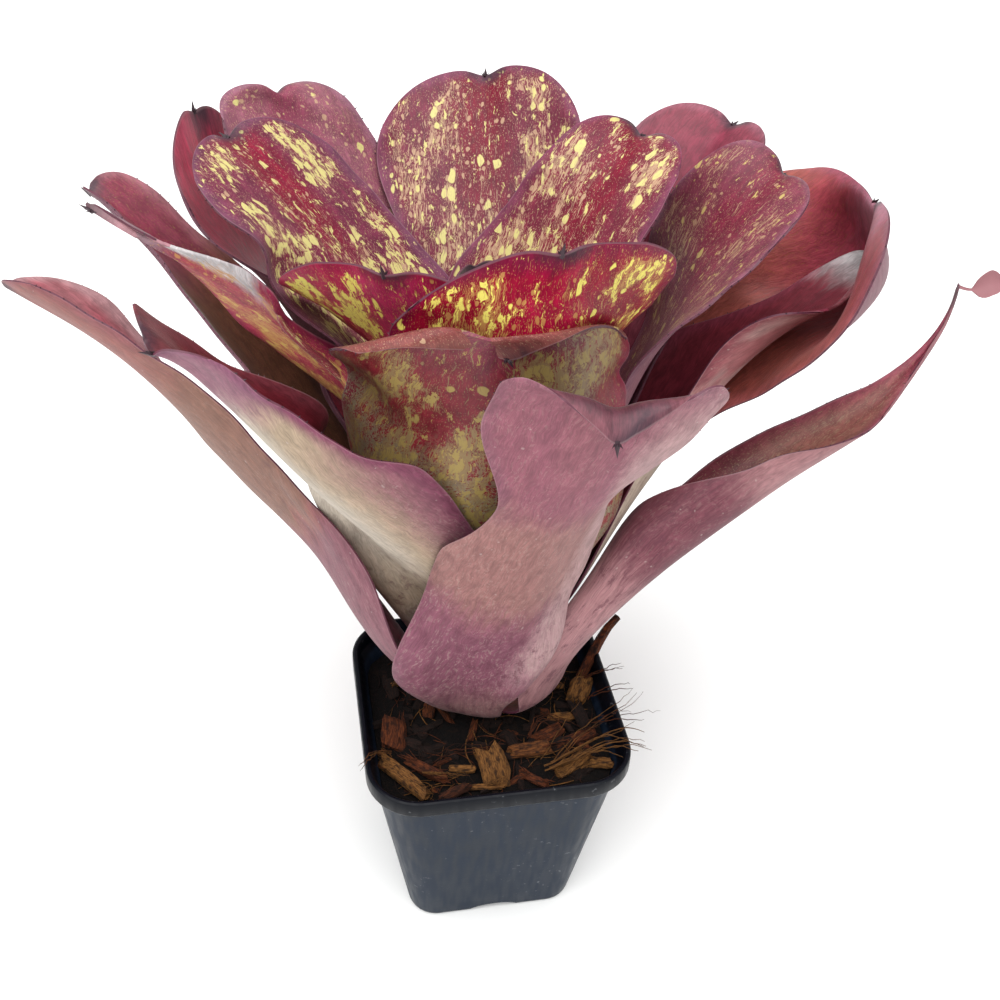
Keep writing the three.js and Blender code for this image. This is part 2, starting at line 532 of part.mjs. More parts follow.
const root = new THREE.Group();
const place = (parent, name, geometry, material) => {
  const piece = new THREE.Mesh(geometry, material);
  piece.name = name;
  parent.add(piece);
};
place(root, "pot", potGeometry(), potPlastic);
place(root, "potting_mix", mixGeometry(), barkMix);
const plant = new THREE.Group();
plant.rotation.z = rad(PLANT_TURN);
plant.position.copy(PLANT);
place(plant, "stem", stemGeometry(0, STEM_FOOT, STEM_TOP_Z), stemGreen);
for (const leaf of [...LEAVES].reverse()) {
  place(plant, leaf.name, leafGeometry(leaf), leaf.layer < OUTER_LAYERS ? leafMauve : leafRed);
}
root.add(plant);
export default root;
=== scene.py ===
"""A neoregelia bromeliad in a small square nursery pot: its looks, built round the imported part."""
import functools
import math
import random

import bpy
import numpy as np
from mathutils import Matrix, Vector, noise


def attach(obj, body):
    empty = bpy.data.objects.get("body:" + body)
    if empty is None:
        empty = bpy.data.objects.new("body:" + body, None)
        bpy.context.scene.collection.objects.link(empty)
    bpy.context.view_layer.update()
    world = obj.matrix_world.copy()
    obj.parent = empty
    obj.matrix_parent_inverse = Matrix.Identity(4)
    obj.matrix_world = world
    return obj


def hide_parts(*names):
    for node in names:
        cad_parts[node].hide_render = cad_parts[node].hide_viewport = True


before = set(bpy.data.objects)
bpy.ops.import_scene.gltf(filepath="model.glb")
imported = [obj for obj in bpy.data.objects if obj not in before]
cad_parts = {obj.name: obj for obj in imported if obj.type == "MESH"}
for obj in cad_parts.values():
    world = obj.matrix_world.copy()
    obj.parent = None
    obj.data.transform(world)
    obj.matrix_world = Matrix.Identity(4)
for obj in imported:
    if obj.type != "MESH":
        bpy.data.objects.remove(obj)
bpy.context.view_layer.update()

# Everything below is in millimetres and degrees, and turns into metres where a mesh is made.
MM = 0.001

# ---- The pot's and the plant's driving dimensions, as in the part ----
POT_HALF = 35
POT_HEIGHT = 63
POT_BASE_HALF = 23.5
POT_CORNER = 14
POT_BASE_CORNER = 8
POT_WALL = 1.3
RIM_BAND = 5.5
RIM_STEP = 1.2
FOOT_ARCH_WIDTH = 14
FOOT_ARCH_HEIGHT = 2.6
FOOT_ARCH_DEPTH = 6
POT_FLOOR = 4
DRAIN_RADIUS = 3
DRAIN_REACH = 20
MIX_LEVEL = 55
FIT_GAP = 0.3

LEAF_THICKNESS = 0.8
LEAF_EDGE = 0.5
LEAF_STACK = 1.25
PLANT_TURN = -11.75
PLANT_X = -2
PLANT_Y = 12
STEM_BASE_Z = 55
STEM_TOP_Z = 96
FIRST_LEAF_Z = 56.2
LAST_LEAF_Z = 94.2
STEM_BASE_RADIUS = 7
STEM_TOP_RADIUS = 2.5
LAYERS = 24
OUTER_LAYERS = 10
SHEATH_WRAP = 1.08
SWELL_RISE = 0.65
SWELL_BEND = 0.4
MIDRIB_STEP_SHARE = 1 / 40  # the midrib's direction is taken over three such shares of its length
TIP_SPAN = 0.85
BLUNT = 2.2
NOTCH = 1.5
NOTCH_SPAN = 0.15
GROOVE = 1.6
GROOVE_SPAN = 0.2
ROLL = 18
ROLL_SPAN = 0.75

COLUMNS = (
    "name layer swell azBase azTip reach height riseBase riseTip hold tipHold "
    "width sheathed necked sheathLength leanSheath leanNeck leanTip "
    "wrapMid wrapTip twistMid twistTip tipLength taper skew curl"
).split()
LOW = (0.3, 0.34, 44, 1.05, 0.75, 45, 0, 0, 0, 45, 30, 0, 0, 1.3, 0, 0, 3)  # the hidden ones at the back
LEAVES = [
    ("leaf_front_outer", 0, 12, -112.9, -58.6, 56.5, 191.2, 64.8, 74, 0.17, 0.25,
     42.6, 1.16, 0.35, 80.3, 0.22, 0.81, -0.14, 64, 3, -5.7, -27.2, 0.55, -0.04, -3.6, 8.8),
    ("leaf_right_long", 1, 16.5, -16.6, 20.7, 128.9, 161.8, 79, 96.5, 0.31, 0.25,
     26.6, 1.8, 1.31, 62.3, -0.45, -0.11, -0.14, 77.9, 109.4, -4.9, 54, 1.6, 0.98, -3.4, -3),
    ("leaf_left_long", 2, 13, -170.9, 165.3, 131, 158.6, 56.6, 16.1, 0.31, 0.31,
     34.1, 1.4, 0.96, 55.2, 0.52, 0.15, -0.04, 18.4, 48.2, 54.6, 29, 1.39, -0.02, 2.3, -0.4),
    ("leaf_back_low_left", 3, 13.8, 120, 120, 112, 150, 50, 20, *LOW),
    ("leaf_back_low", 4, 12.5, 93, 93, 112, 148, 50, 20, *LOW),
    ("leaf_back_low_right", 5, 11.3, 62, 64, 110, 152, 50, 20, *LOW),
    ("leaf_left_front", 6, 6, -111.8, -150.7, 77.6, 189.5, 83.2, 60.8, 0.29, 0.47,
     55.5, 0.97, 0.84, 90.2, 0.24, -0.28, 0.2, 95, 81.3, -14, 14.2, 0.5, 0.59, 6.4, 3.1),
    ("leaf_right_outer", 7, 9, 44.8, 19.9, 95, 197.5, 78.3, 69.1, 0.38, 0.3,
     80.7, 0.5, 0.35, 27, -0.16, 0.73, 0.23, 42.6, 3, 14.9, -22.8, 0.5, -0.1, 1.2, 3.5),
    ("leaf_right_folded", 8, 8, -14, 27.6, 120.7, 173.8, 68.9, -2.3, 0.21, 0.26,
     51.6, 0.9, 1.49, 100.2, 0.31, 0.29, -0.5, 85.4, 18.1, -29.6, 14.6, 1.31, 0.81, -1.7, 14),
    ("leaf_left_outer", 9, 7, 173, 161.2, 108.1, 188, 63.5, 31.7, 0.43, 0.24,
     36.3, 1.13, 1.1, 41.2, -0.01, -0.08, 0, 29.2, 64.4, 12.3, 13.2, 0.94, 0.34, 2, 1.4),
    ("leaf_back_left_outer", 10, 6.1, 140.9, 150.8, 85.6, 195.3, 61.2, 61.8, 0.35, 0.37,
     48, 1.15, 0.75, 45.7, 0, 0.14, 0.11, 45.5, 15.1, 49.2, 10, 1.4, -0.05, -1.1, -5.7),
    ("leaf_back_right_outer", 11, 5.3, 50.5, 48.3, 91.7, 202.4, 62.8, 32.8, 0.4, 0.19,
     46.1, 0.99, 0.63, 41.7, 0.01, -0.04, 0.04, 46, 32.1, -1.2, -3.2, 1.36, 0.04, -1.4, 2.3),
    ("leaf_front_inner", 12, 4.5, -96.3, -90.4, 33.4, 200.1, 92.9, 37.5, 0.48, 0.12,
     62.3, 1.46, 0.78, 51, 0.01, -0.16, -0.14, 58.7, 15.6, 7.7, 36.9, 1.36, 0.02, 8, 9),
    ("leaf_left_marked", 13, 3.8, -184.63, 182.25, 87.66, 196.39, 110.49, 30.7, 0.45, 0.15,
     49.36, 1.28, 0.81, 63.1, -0.24, 0.03, -0.04, 59.09, 34.8, 67.56, 60.33, 0.73, 1.06, -2.2, -0.8),
    ("leaf_right", 14, 3.1, 23.1, 27.3, 81.4, 202.4, 63.3, 19.2, 0.43, 0.19,
     64.2, 0.85, 0.77, 49, 0.04, -0.12, 0, 18.2, 37.4, -36.3, 18.5, 1.37, 0.35, -0.6, 3.7),
    ("leaf_back_left", 15, 2.5, 131, 135.5, 83.2, 210.5, 70.4, 21.1, 0.46, 0.25,
     46.3, 1.06, 0.71, 45.2, -0.03, -0.01, 0.04, 27.9, 6.6, 16.8, 19.1, 1.38, 0.16, 2.1, 4),
    ("leaf_back", 16, 2, 92.8, 94.3, 79.8, 207.6, 75.9, 40.5, 0.45, 0.21,
     56.8, 0.9, 0.63, 37.3, -0.07, -0.15, 0.04, 36.2, 22.7, -2, -15.2, 1.29, 0, -0.4, 1.5),
    ("leaf_back_left_inner", 17.5, 1.3, 153.9, 152.8, 75, 205.1, 80.4, 38.2, 0.52, 0.4,
     48.2, 1.14, 0.94, 43.9, 0.02, -0.19, 0.01, 31.8, -6.7, 9, 1.6, 1.14, -0.02, 0.1, 2.2),
    ("leaf_back_right_inner", 18.5, 0.9, 61.5, 52.6, 57.7, 206.8, 85.7, 16.6, 0.51, 0.25,
     49.5, 0.93, 0.88, 51.7, 0.06, 0.37, -0.09, 40.9, 3.1, -15.3, 10, 1.29, 0.28, 1.3, 2.6),
    ("leaf_heart_right", 19.5, 0.6, -69.9, -66.4, 34.6, 203, 78.9, 63.6, 0.39, 0.29,
     63.3, 1.03, 0.72, 40, 0.07, 0.1, -0.04, 49.2, 14.6, 7.3, -7.2, 0.85, 0.01, -5.7, -1.6),
    ("leaf_heart_left", 20.5, 0.4, -139.8, -132.6, 30.9, 193.7, 82.8, 63.2, 0.25, 0.37,
     59.4, 0.94, 0.67, 41.2, 0.05, -0.07, -0.06, 38, 4, 2.6, 23.3, 0.96, -0.19, 4.6, -0.9),
    ("leaf_heart", 22, 0.1, 100, 120, 8, 184, 80, 85, 0.3, 0.34,
     26, 0.9, 0.85, 45, 0, 0, 0, 80, 60, 0, 0, 1.3, 0, 0, 1),
]
LEAVES = [dict(zip(COLUMNS, row)) for row in LEAVES]


def mix(a, b, t):
    return a + (b - a) * t


def smooth(low, high, t):
    x = np.clip((t - low) / (high - low), 0, 1)
    return x * x * (3 - 2 * x)


def unit(a):
    return a / np.linalg.norm(a, axis=-1, keepdims=True)


def stem_radius(z):
    return mix(STEM_BASE_RADIUS, STEM_TOP_RADIUS, (z - STEM_BASE_Z) / (STEM_TOP_Z - STEM_BASE_Z))


def turned(points, degrees):
    """Points turned about the Z axis."""
    a = math.radians(degrees)
    c, s = math.cos(a), math.sin(a)
    return np.asarray(points, float) @ np.array([[c, s, 0], [-s, c, 0], [0, 0, 1]])


PLANT = turned([PLANT_X, PLANT_Y, 0], PLANT_TURN)

# ---- Shader nodes ----


def srgb(code):
    """A colour written as rrggbb, as the shader takes it."""
    parts = [int(code[i : i + 2], 16) / 255 for i in (0, 2, 4)]
    linear = [c / 12.92 if c <= 0.04045 else ((c + 0.055) / 1.055) ** 2.4 for c in parts]
    return (*linear, 1.0)


class Shade:
    """One material's nodes. Each call adds a node and gives back the socket that it makes."""

    def __init__(self, name):
        self.material = bpy.data.materials.new(name)
        self.material.use_nodes = True
        self.tree = self.material.node_tree
        self.tree.nodes.clear()

    def add(self, kind, inputs, out=0, **settings):
        made = self.tree.nodes.new("ShaderNode" + kind)
        for key, value in settings.items():
            setattr(made, key, value)
        for key, value in inputs.items():
            if isinstance(value, bpy.types.NodeSocket):
                self.tree.links.new(value, made.inputs[key])
            else:
                made.inputs[key].default_value = value
        return made.outputs[out]

    def math(self, operation, *values):
        return self.add("Math", dict(enumerate(values)), operation=operation)

    def times(self, *values):
        return functools.reduce(lambda a, b: self.math("MULTIPLY", a, b), values)

    def plus(self, *values):
        return functools.reduce(lambda a, b: self.math("ADD", a, b), values)

    def attribute(self, name):
        return self.add("Attribute", {}, out="Vector", attribute_name=name)

    def place(self):
        return self.add("TexCoord", {}, out="Object")

    def split(self, vector):
        made = self.tree.nodes.new("ShaderNodeSeparateXYZ")
        self.tree.links.new(vector, made.inputs[0])
        return made.outputs[0], made.outputs[1], made.outputs[2]

    def scaled(self, vector, factors, offset=(0, 0, 0)):
        """A vector multiplied by factors, then moved by offset."""
        return self.add("VectorMath", {0: vector, 1: factors, 2: offset}, operation="MULTIPLY_ADD")

    def noise(self, vector, scale=1.0, detail=2.0, rough=0.5, out=0):
        inputs = {"Vector": vector, "Scale": scale, "Detail": detail, "Roughness": rough}
        return self.add("TexNoise", inputs, out=out)

    def cells(self, vector, out="Distance"):
        inputs = {"Vector": vector, "Scale": 1.0}
        return self.add("TexVoronoi", inputs, out=out, voronoi_dimensions="2D")

    def step(self, value, low, high, to_low=0.0, to_high=1.0):
        """A smooth step of value from low to high."""
        inputs = {"Value": value, "From Min": low, "From Max": high}
        inputs |= {"To Min": to_low, "To Max": to_high}
        return self.add("MapRange", inputs, interpolation_type="SMOOTHSTEP")

    def blend(self, a, b, factor):
        """From one colour towards another, each a socket, its numbers or rrggbb."""
        a, b = (srgb(colour) if isinstance(colour, str) else colour for colour in (a, b))
        return self.add("Mix", {0: factor, 6: a, 7: b}, out=2, data_type="RGBA")

    def bump(self, height, distance, strength=1.0):
        return self.add("Bump", {"Height": height, "Distance": distance, "Strength": strength})

    def finish(self, **sockets):
        """The Principled shader, with its sockets named as in Blender with underscores for spaces."""
        made = self.add("BsdfPrincipled", {k.replace("_", " "): v for k, v in sockets.items()})
        output = self.tree.nodes.new("ShaderNodeOutputMaterial")
        self.tree.links.new(made, output.inputs["Surface"])
        return self.material


# ---- Leaf shapes ----
SWELL_POINTS = 25  # along a midrib's foot, and along the rest of it
BLADE_POINTS = 160
# Where along a leaf its changes begin and end, as shares of its length from base to tip.
SHEATH_OPENS = (0.1, 0.4)
SHEATH_FREE = (0.3, 0.6)
WIDENS = (0.5, 0.82)
TURNS = (0, 0.8)
TWISTS = (0.1, 0.55)
TWISTS_ON = (0.55, 1)
WRAP_CHANGES = (0.5, 1)
TIP_ROUNDS = (0.55, 1)
SKEWS = (0.6, 1)
NOTCHES = (0.85, 1)
GROOVES = (0.75, 1)
# In mm: where the neck begins before the sheath's end and ends after it, how much wider than the stem a foot
# is, and the least radius that a sheath winds round.
NECK_BEFORE = 5
NECK_AFTER = 35
FOOT_MORE = 2
LEAST_WIND = 6
FOOT_SHARE = 1.1  # of the foot's radius, for its half-width
CURL_BACK = 1.4  # how far a curled tip draws back, for each mm that it goes down


def direction(az, rise):
    a, e = math.radians(az), math.radians(rise)
    return np.array([math.cos(a) * math.cos(e), math.sin(a) * math.cos(e), math.sin(e)])


def midrib(leaf):
    """The midrib as points, and how far along it each one is."""
    az, layer = leaf["azBase"], leaf["layer"]
    z0 = FIRST_LEAF_Z + layer / LAYERS * (LAST_LEAF_Z - FIRST_LEAF_Z)
    r0 = stem_radius(z0) + FIT_GAP + LEAF_THICKNESS / 2
    swell = leaf["swell"]
    start = r0 * direction(az, 0) + [0, 0, z0]
    foot = (r0 + swell) * direction(az, 0) + [0, 0, z0 + SWELL_RISE * swell]
    end = leaf["reach"] * direction(leaf["azTip"], 0) + [0, 0, leaf["height"]]
    chord = np.linalg.norm(end - foot)
    bend = foot - SWELL_BEND * swell * direction(az, leaf["riseBase"])
    rising = foot + leaf["hold"] * chord * direction(az, leaf["riseBase"])
    falling = end - leaf["tipHold"] * chord * direction(leaf["azTip"], leaf["riseTip"])
    t = np.linspace(0, 1, SWELL_POINTS)[:, None]
    low = (1 - t) ** 2 * start + 2 * t * (1 - t) * bend + t**2 * foot
    t = np.linspace(0, 1, BLADE_POINTS)[1:, None]
    high = (1 - t) ** 3 * foot + 3 * t * (1 - t) ** 2 * rising
    high += 3 * t**2 * (1 - t) * falling + t**3 * end
    points = np.concatenate([low, high])
    along = np.concatenate([[0], np.cumsum(np.linalg.norm(np.diff(points, axis=0), axis=1))])
    return points, along


def on_line(points, along, s):
    return np.stack([np.interp(s, along, points[:, k]) for k in range(3)], -1)


def tip_drop(x):
    return 1 - (1 - np.abs(x) ** BLUNT) ** (1 / BLUNT)


def leaf_surface(leaf, us, vs):
    """The leaf's middle surface on the grid of us (margin to margin) and vs (base to tip).

    Gives the points, the place on the blade in mm across and along, and the half-width."""
    points, along = midrib(leaf)
    length = along[-1]
    half = leaf["width"] / 2
    u, v = np.meshgrid(us, vs)
    tip_length = leaf["tipLength"] * half
    ease = smooth(*TIP_ROUNDS, v)
    notch = NOTCH * np.exp(-((u / NOTCH_SPAN) ** 2)) * smooth(*NOTCHES, v)
    s = v * (length - ease * tip_length * tip_drop(TIP_SPAN * u)) - notch
    s = s - leaf["skew"] * u * smooth(*SKEWS, v)
    s_margin = v * (length - ease * tip_length * tip_drop(TIP_SPAN))
    foot = FOOT_SHARE * (stem_radius(STEM_BASE_Z + leaf["layer"]) + FOOT_MORE)
    grown = leaf["sheathLength"]
    neck = smooth(grown - NECK_BEFORE, grown + NECK_AFTER, s)
    wide = smooth(WIDENS[0] * length, WIDENS[1] * length, s)
    w = mix(foot, half * leaf["sheathed"], smooth(0, grown, s))
    w = mix(w, half * leaf["necked"], neck)
    w = mix(w, half, wide)
    back = np.maximum(0, 1 - (length - s_margin) / tip_length)
    w *= (1 - back**BLUNT) ** (1 / BLUNT)
    w *= 1 - leaf["taper"] * ease
    t = np.minimum(1, s / length)
    m = on_line(points, along, s)
    reach = 1.5 * length * MIDRIB_STEP_SHARE
    tangent = unit(on_line(points, along, s + reach) - on_line(points, along, s - reach))
    r = np.hypot(m[..., 0], m[..., 1])
    w = mix(np.minimum(w, SHEATH_WRAP * leaf["sheathed"] * r), w, smooth(*SHEATH_FREE, t))
    lean = mix(leaf["leanSheath"], leaf["leanNeck"], neck)
    lean = mix(lean, leaf["leanTip"], wide)
    x = (u + lean) * w
    turn = (leaf["azTip"] - leaf["azBase"] + 180) % 360 - 180
    az = np.radians(leaf["azBase"] + turn * smooth(*TURNS, t))
    side = np.stack([-np.sin(az), np.cos(az), 0 * az], -1)
    side = unit(side - tangent * np.sum(side * tangent, -1, keepdims=True))
    twist = leaf["twistMid"] * smooth(*TWISTS, t)
    twist = np.radians(mix(twist, leaf["twistTip"], smooth(*TWISTS_ON, t)))[..., None]
    side = side * np.cos(twist) + np.cross(tangent, side) * np.sin(twist)
    up = np.cross(tangent, side)
    k = np.radians(mix(leaf["wrapMid"], leaf["wrapTip"], smooth(*WRAP_CHANGES, t))) / half
    blade = m + side * (np.sin(k * x) / k)[..., None] + up * ((1 - np.cos(k * x)) / k)[..., None]
    psi = np.arctan2(m[..., 1], m[..., 0]) + x / np.maximum(r, LEAST_WIND)
    sheath = np.stack([r * np.cos(psi), r * np.sin(psi), m[..., 2]], -1)
    p = mix(blade, sheath, 1 - smooth(*SHEATH_OPENS, t)[..., None])
    e = np.maximum(0, 1 - (1 - v) * length / ROLL)
    middle = np.exp(-((u / ROLL_SPAN) ** 2)) * e * e
    groove = GROOVE * np.exp(-((u / GROOVE_SPAN) ** 2)) * smooth(*GROOVES, v)
    p = p - up * (leaf["curl"] * middle + groove)[..., None]
    p = p - tangent * (CURL_BACK * leaf["curl"] * middle * e)[..., None]
    return p, x, s, w, up


# Leaves nest as in the part, but on a finer grid and more softly: an older leaf is pressed below the younger
# ones that it lies on, as seen from a low point on the axis.
NEST_Z = 8
NEST_RINGS = 160
NEST_RING = 2
NEST_SECTORS = 240
FINER = 3  # how much finer than its mesh a leaf is laid in the nest
PRESS_WIDER = 4  # passes that spread the greatest press, then those that soften it
PRESS_SOFTER = 22
nest = np.full((NEST_RINGS, NEST_SECTORS), np.inf)


def polar(p):
    r = np.hypot(p[..., 0], p[..., 1])
    z = p[..., 2] - NEST_Z
    return np.hypot(r, z), np.arctan2(p[..., 1], p[..., 0]), np.arctan2(z, r)


def nest_cell(distance, azimuth):
    ring = np.minimum(NEST_RINGS - 1, np.rint(distance / NEST_RING).astype(int))
    sector = np.rint(azimuth / (2 * np.pi) * NEST_SECTORS).astype(int) % NEST_SECTORS
    return ring, sector


def spread(values, passes, how):
    """Values passed on to the neighbours along and across, so many times."""
    for _ in range(passes):
        for axis in (0, 1):
            n = values.shape[axis]
            before = values.take(np.maximum(np.arange(n) - 1, 0), axis)
            after = values.take(np.minimum(np.arange(n) + 1, n - 1), axis)
            if how == "most":
                values = np.maximum(values, np.maximum(before, after))
            else:
                values = (before + 2 * values + after) / 4
    return values


def finer(p):
    """A grid of points filled in between."""
    for axis in (0, 1):
        n = p.shape[axis]
        at = np.linspace(0, n - 1, (n - 1) * FINER + 1)
        low = np.minimum(at.astype(int), n - 2)
        share = (at - low).reshape([-1 if a == axis else 1 for a in range(3)])
        p = mix(p.take(low, axis), p.take(low + 1, axis), share)
    return p


def nested(p, vs):
    """The leaf's points pressed clear of the leaves inside it, which it then joins in the nest."""
    distance, azimuth, elevation = polar(p)
    inner = nest[nest_cell(distance, azimuth)]
    press = np.maximum(0, (elevation - inner) * distance + LEAF_STACK)
    press = spread(spread(press, PRESS_WIDER, "most"), PRESS_SOFTER, "mean")
    lower = elevation - press * smooth(0, 0.12, vs)[:, None] / distance
    p = np.stack([
        distance * np.cos(lower) * np.cos(azimuth),
        distance * np.cos(lower) * np.sin(azimuth),
        NEST_Z + distance * np.sin(lower),
    ], -1)
    distance, azimuth, elevation = polar(finer(p))
    np.minimum.at(nest, nest_cell(distance, azimuth), elevation)
    return p


ALONG = 110
ACROSS = 48
SPINE_PITCH = 3.0
SPINE_LENGTH = 0.8
SPINE_WIDTH = 0.4
SPINE_ROOT = 0.2  # how far a spine, or a point of the tuft, starts inside the blade
TUFT_ROOT = 0.7
SPINES_FROM = 0.3  # as a share of the margin
WAVE = 0.5  # how far a margin waves, mm
BARE_TIPS = ("leaf_left_long", "leaf_right_long", "leaf_heart")
# The dried end that hangs by a thread: its length, sag and half-thickness in mm, and its rows and columns.
FLAP_LENGTH = 11.5
FLAP_SAG = 1.4
FLAP_FACE = 0.25
FLAP_ROWS, FLAP_COLUMNS = 16, 6
# The points at a leaf's tip: how far each leans sideways and outwards, its length and its thickness in mm.
TUFT = (
    (0, 0.1, 3.4, 1.6), (0.7, 0.3, 2.1, 0.9), (-0.7, 0.2, 2.0, 0.9),
    (0.4, 0.9, 1.8, 0.8), (-0.4, 0.8, 1.5, 0.8),
)


def wave(us, vs, rng):
    """How far each point stands off the plain blade: soft waves, most at the margins."""
    u, v = np.meshgrid(us, vs)
    total = 0 * u
    for cycles, size in ((2.5, 1.0), (4.7, 0.6), (8.3, 0.35)):
        left, right = rng.uniform(0, 2 * np.pi, 2)
        at = 2 * np.pi * cycles * v
        total += size * np.where(u < 0, np.sin(at + left), np.sin(at + right))
    return WAVE * total * np.abs(u) ** 2.5 * smooth(0.25, 0.6, v)


def new_mesh(name, points, faces, materials, face_material=None, smooth_faces=True, sharp_angle=35):
    """A mesh object from points in mm in the part's frame."""
    mesh = bpy.data.meshes.new(name)
    mesh.from_pydata((np.asarray(points) * MM).tolist(), [], [list(f) for f in faces])
    for material in materials:
        mesh.materials.append(material)
    if face_material is not None:
        mesh.polygons.foreach_set("material_index", np.asarray(face_material, np.int32))
    mesh.polygons.foreach_set("use_smooth", [smooth_faces] * len(mesh.polygons))
    mesh.update()
    if smooth_faces:
        mesh.set_sharp_from_angle(angle=math.radians(sharp_angle))
    made = bpy.data.objects.new(name, mesh)
    bpy.context.scene.collection.objects.link(made)
    return made


def keep_vectors(obj, name, vectors):
    """Vectors stored on the mesh's points, for its material to read."""
    made = obj.data.attributes.new(name, "FLOAT_VECTOR", "POINT")
    made.data.foreach_set("vector", np.asarray(vectors, np.float32).ravel())


def belongs(obj, slot, *nodes):
    """The piece rides on the part's only body and stands for CAD nodes, which it hides. slot is not used."""
    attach(obj, "root")
    if nodes:
        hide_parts(*nodes)


def sheet_faces(first, rows, columns):
    """The faces of a thin sheet whose two sides are grids of points: top, underside and rim."""
    n, other = columns + 1, (rows + 1) * (columns + 1)
    a = first + (np.arange(rows)[:, None] * n + np.arange(columns)).ravel()
    b, c, d = a + 1, a + n + 1, a + n
    rim = [*range(columns), *(j * n + columns for j in range(rows))]
    rim += [*(rows * n + i for i in range(columns, 0, -1)), *(j * n for j in range(rows, 0, -1))]
    rim = first + np.array(rim)
    there = np.roll(rim, -1)
    sides = [np.stack([a, d, c, b], 1), np.stack([a, b, c, d], 1) + other]
    return [*sides, np.stack([rim + other, rim, there, there + other], 1)]


def spine(points, faces, base, tip, across, normal, width):
    """A thin closed thorn from a base to a tip. Gives how many points and faces it has."""
    first = len(points)
    points += [base - across * width / 2, base + across * width / 2, base + normal * width / 2]
    points += [base - normal * width / 2, tip]
    quads = [(0, 2, 1), (0, 1, 3), (0, 4, 2), (2, 4, 1), (1, 4, 3), (3, 4, 0)]
    faces += [tuple(first + n for n in face) for face in quads]
    return 5, len(quads)


def add_flap(points, faces, root):
    """The dried end that hangs by a thread from a torn tip: a stalk, then a small round blade.

    Gives how many points and faces it has."""
    first, rows, columns = len(points), FLAP_ROWS, FLAP_COLUMNS
    run = unit(np.array([1.0, 0.1, 0.1]))
    wide = unit(np.cross(run, [0, 0.8, -0.6]))
    thin = np.cross(run, wide)
    for face in (FLAP_FACE, -FLAP_FACE):
        for j in range(rows + 1):
            t = j / rows
            round_end = math.sqrt(max(0, 1 - ((t - 0.68) / 0.33) ** 2))
            half = max(0.45 * (1 - t), 3.3 * round_end, 0.12)
            centre = root + run * FLAP_LENGTH * t + thin * 0.8 * math.sin(3 * t)
            centre = centre - np.array([0, 0, FLAP_SAG]) * math.sin(math.pi * min(1, 1.4 * t))
            for i in range(columns + 1):
                u = 2 * i / columns - 1
                points.append(centre + wide * half * u + thin * (face + 0.35 * half * u * u))
    made = np.concatenate(sheet_faces(first, rows, columns))
    faces += [*made]
    return len(points) - first, len(made)


UNDERSIDE, THORN = 1, 3  # places in a leaf's list of materials


def make_leaf(leaf, materials, rng):
    """A leaf's mesh. Its materials are its upper face's, its underside's, its rim's and its thorns'."""
    us = np.linspace(-1, 1, ACROSS + 1)
    vs = np.linspace(0, 1, ALONG + 1)
    p, x, s, w, up = leaf_surface(leaf, us, vs)
    p = p + up * wave(us, vs, rng)[..., None]
    p = nested(p, vs)
    across = np.gradient(p, axis=1)
    along = np.gradient(p, axis=0)
    normal = unit(-np.cross(across, along))
    u, v = np.meshgrid(us, vs)
    rounded = np.sqrt(np.clip(1 - np.abs(u) ** 14, 0, 1))
    thick = mix(LEAF_EDGE, LEAF_THICKNESS, rounded * (1 - smooth(0.96, 1, v)))
    top = p + normal * (thick / 2)[..., None]
    low = p - normal * (thick / 2)[..., None]
    points = [*top.reshape(-1, 3), *low.reshape(-1, 3)]
    faces, kinds = [], []
    for kind, made in enumerate(sheet_faces(0, ALONG, ACROSS)):
        faces += [*made]
        kinds += [kind] * len(made)
    place = np.stack([x, s, 0 * x + leaf["layer"]], -1).reshape(-1, 3)
    length = s.max()
    from_edge = np.minimum((1 - np.abs(u)) * w, (1 - v) * length)
    from_tip = np.hypot(x, s.max(1)[-1] - s)
    edge = np.stack([from_edge, from_tip, u], -1).reshape(-1, 3)
    place, edge = [*place, *place], [*edge, *edge]

    def note(made, kind, j, i):
        """Gives the points and faces that were just made a kind, and the blade's own values at (j, i)."""
        kinds.extend([kind] * made[1])
        for values in (place, edge):
            values.extend([values[j * (ACROSS + 1) + i]] * made[0])

    # thorns along both margins, leaning towards the tip
    for column, outward in ((0, -1), (ACROSS, 1)):
        line = p[:, column]
        run = np.concatenate([[0], np.cumsum(np.linalg.norm(np.diff(line, axis=0), axis=1))])
        at = run[-1] * SPINES_FROM
        while at < run[-1]:
            j = min(ALONG - 1, int(np.searchsorted(run, at)))
            out = unit(across[j, column]) * outward
            ahead = unit(along[j, column])
            aim = unit(0.75 * out + 0.65 * ahead)
            reach = SPINE_LENGTH * rng.uniform(0.6, 1.15)
            base = line[j] - out * SPINE_ROOT
            tip = base + aim * reach
            made = spine(points, faces, base, tip, ahead, normal[j, column], SPINE_WIDTH)
            note(made, THORN, j, column)
            at += SPINE_PITCH * rng.uniform(0.7, 1.4)
    # the tuft of dark points at the tip
    middle = ACROSS // 2
    ahead, beside = unit(p[-1, middle] - p[-3, middle]), unit(across[-1, middle])
    face = normal[-1, middle]
    for sideways, lift, reach, width in [] if leaf["name"] in BARE_TIPS else TUFT:
        root = p[-1, middle] - ahead * TUFT_ROOT
        tip = root + unit(ahead + sideways * beside + lift * face) * reach
        made = spine(points, faces, root, tip, beside, face, width)
        note(made, THORN, ALONG, middle)
    if leaf["name"] == "leaf_right_long":
        made = add_flap(points, faces, p[-1, middle])
        note(made, UNDERSIDE, ALONG, middle)
        place[-made[0] :] = [(0, length + 20, leaf["layer"])] * made[0]
        edge[-made[0] :] = [(3, 40, 0.5)] * made[0]
    whole = turned(np.array(points), PLANT_TURN) + PLANT
    obj = new_mesh("look_" + leaf["name"], whole, faces, materials, kinds, sharp_angle=50)
    keep_vectors(obj, "leaf_place", place)
    keep_vectors(obj, "leaf_edge", edge)
    return obj


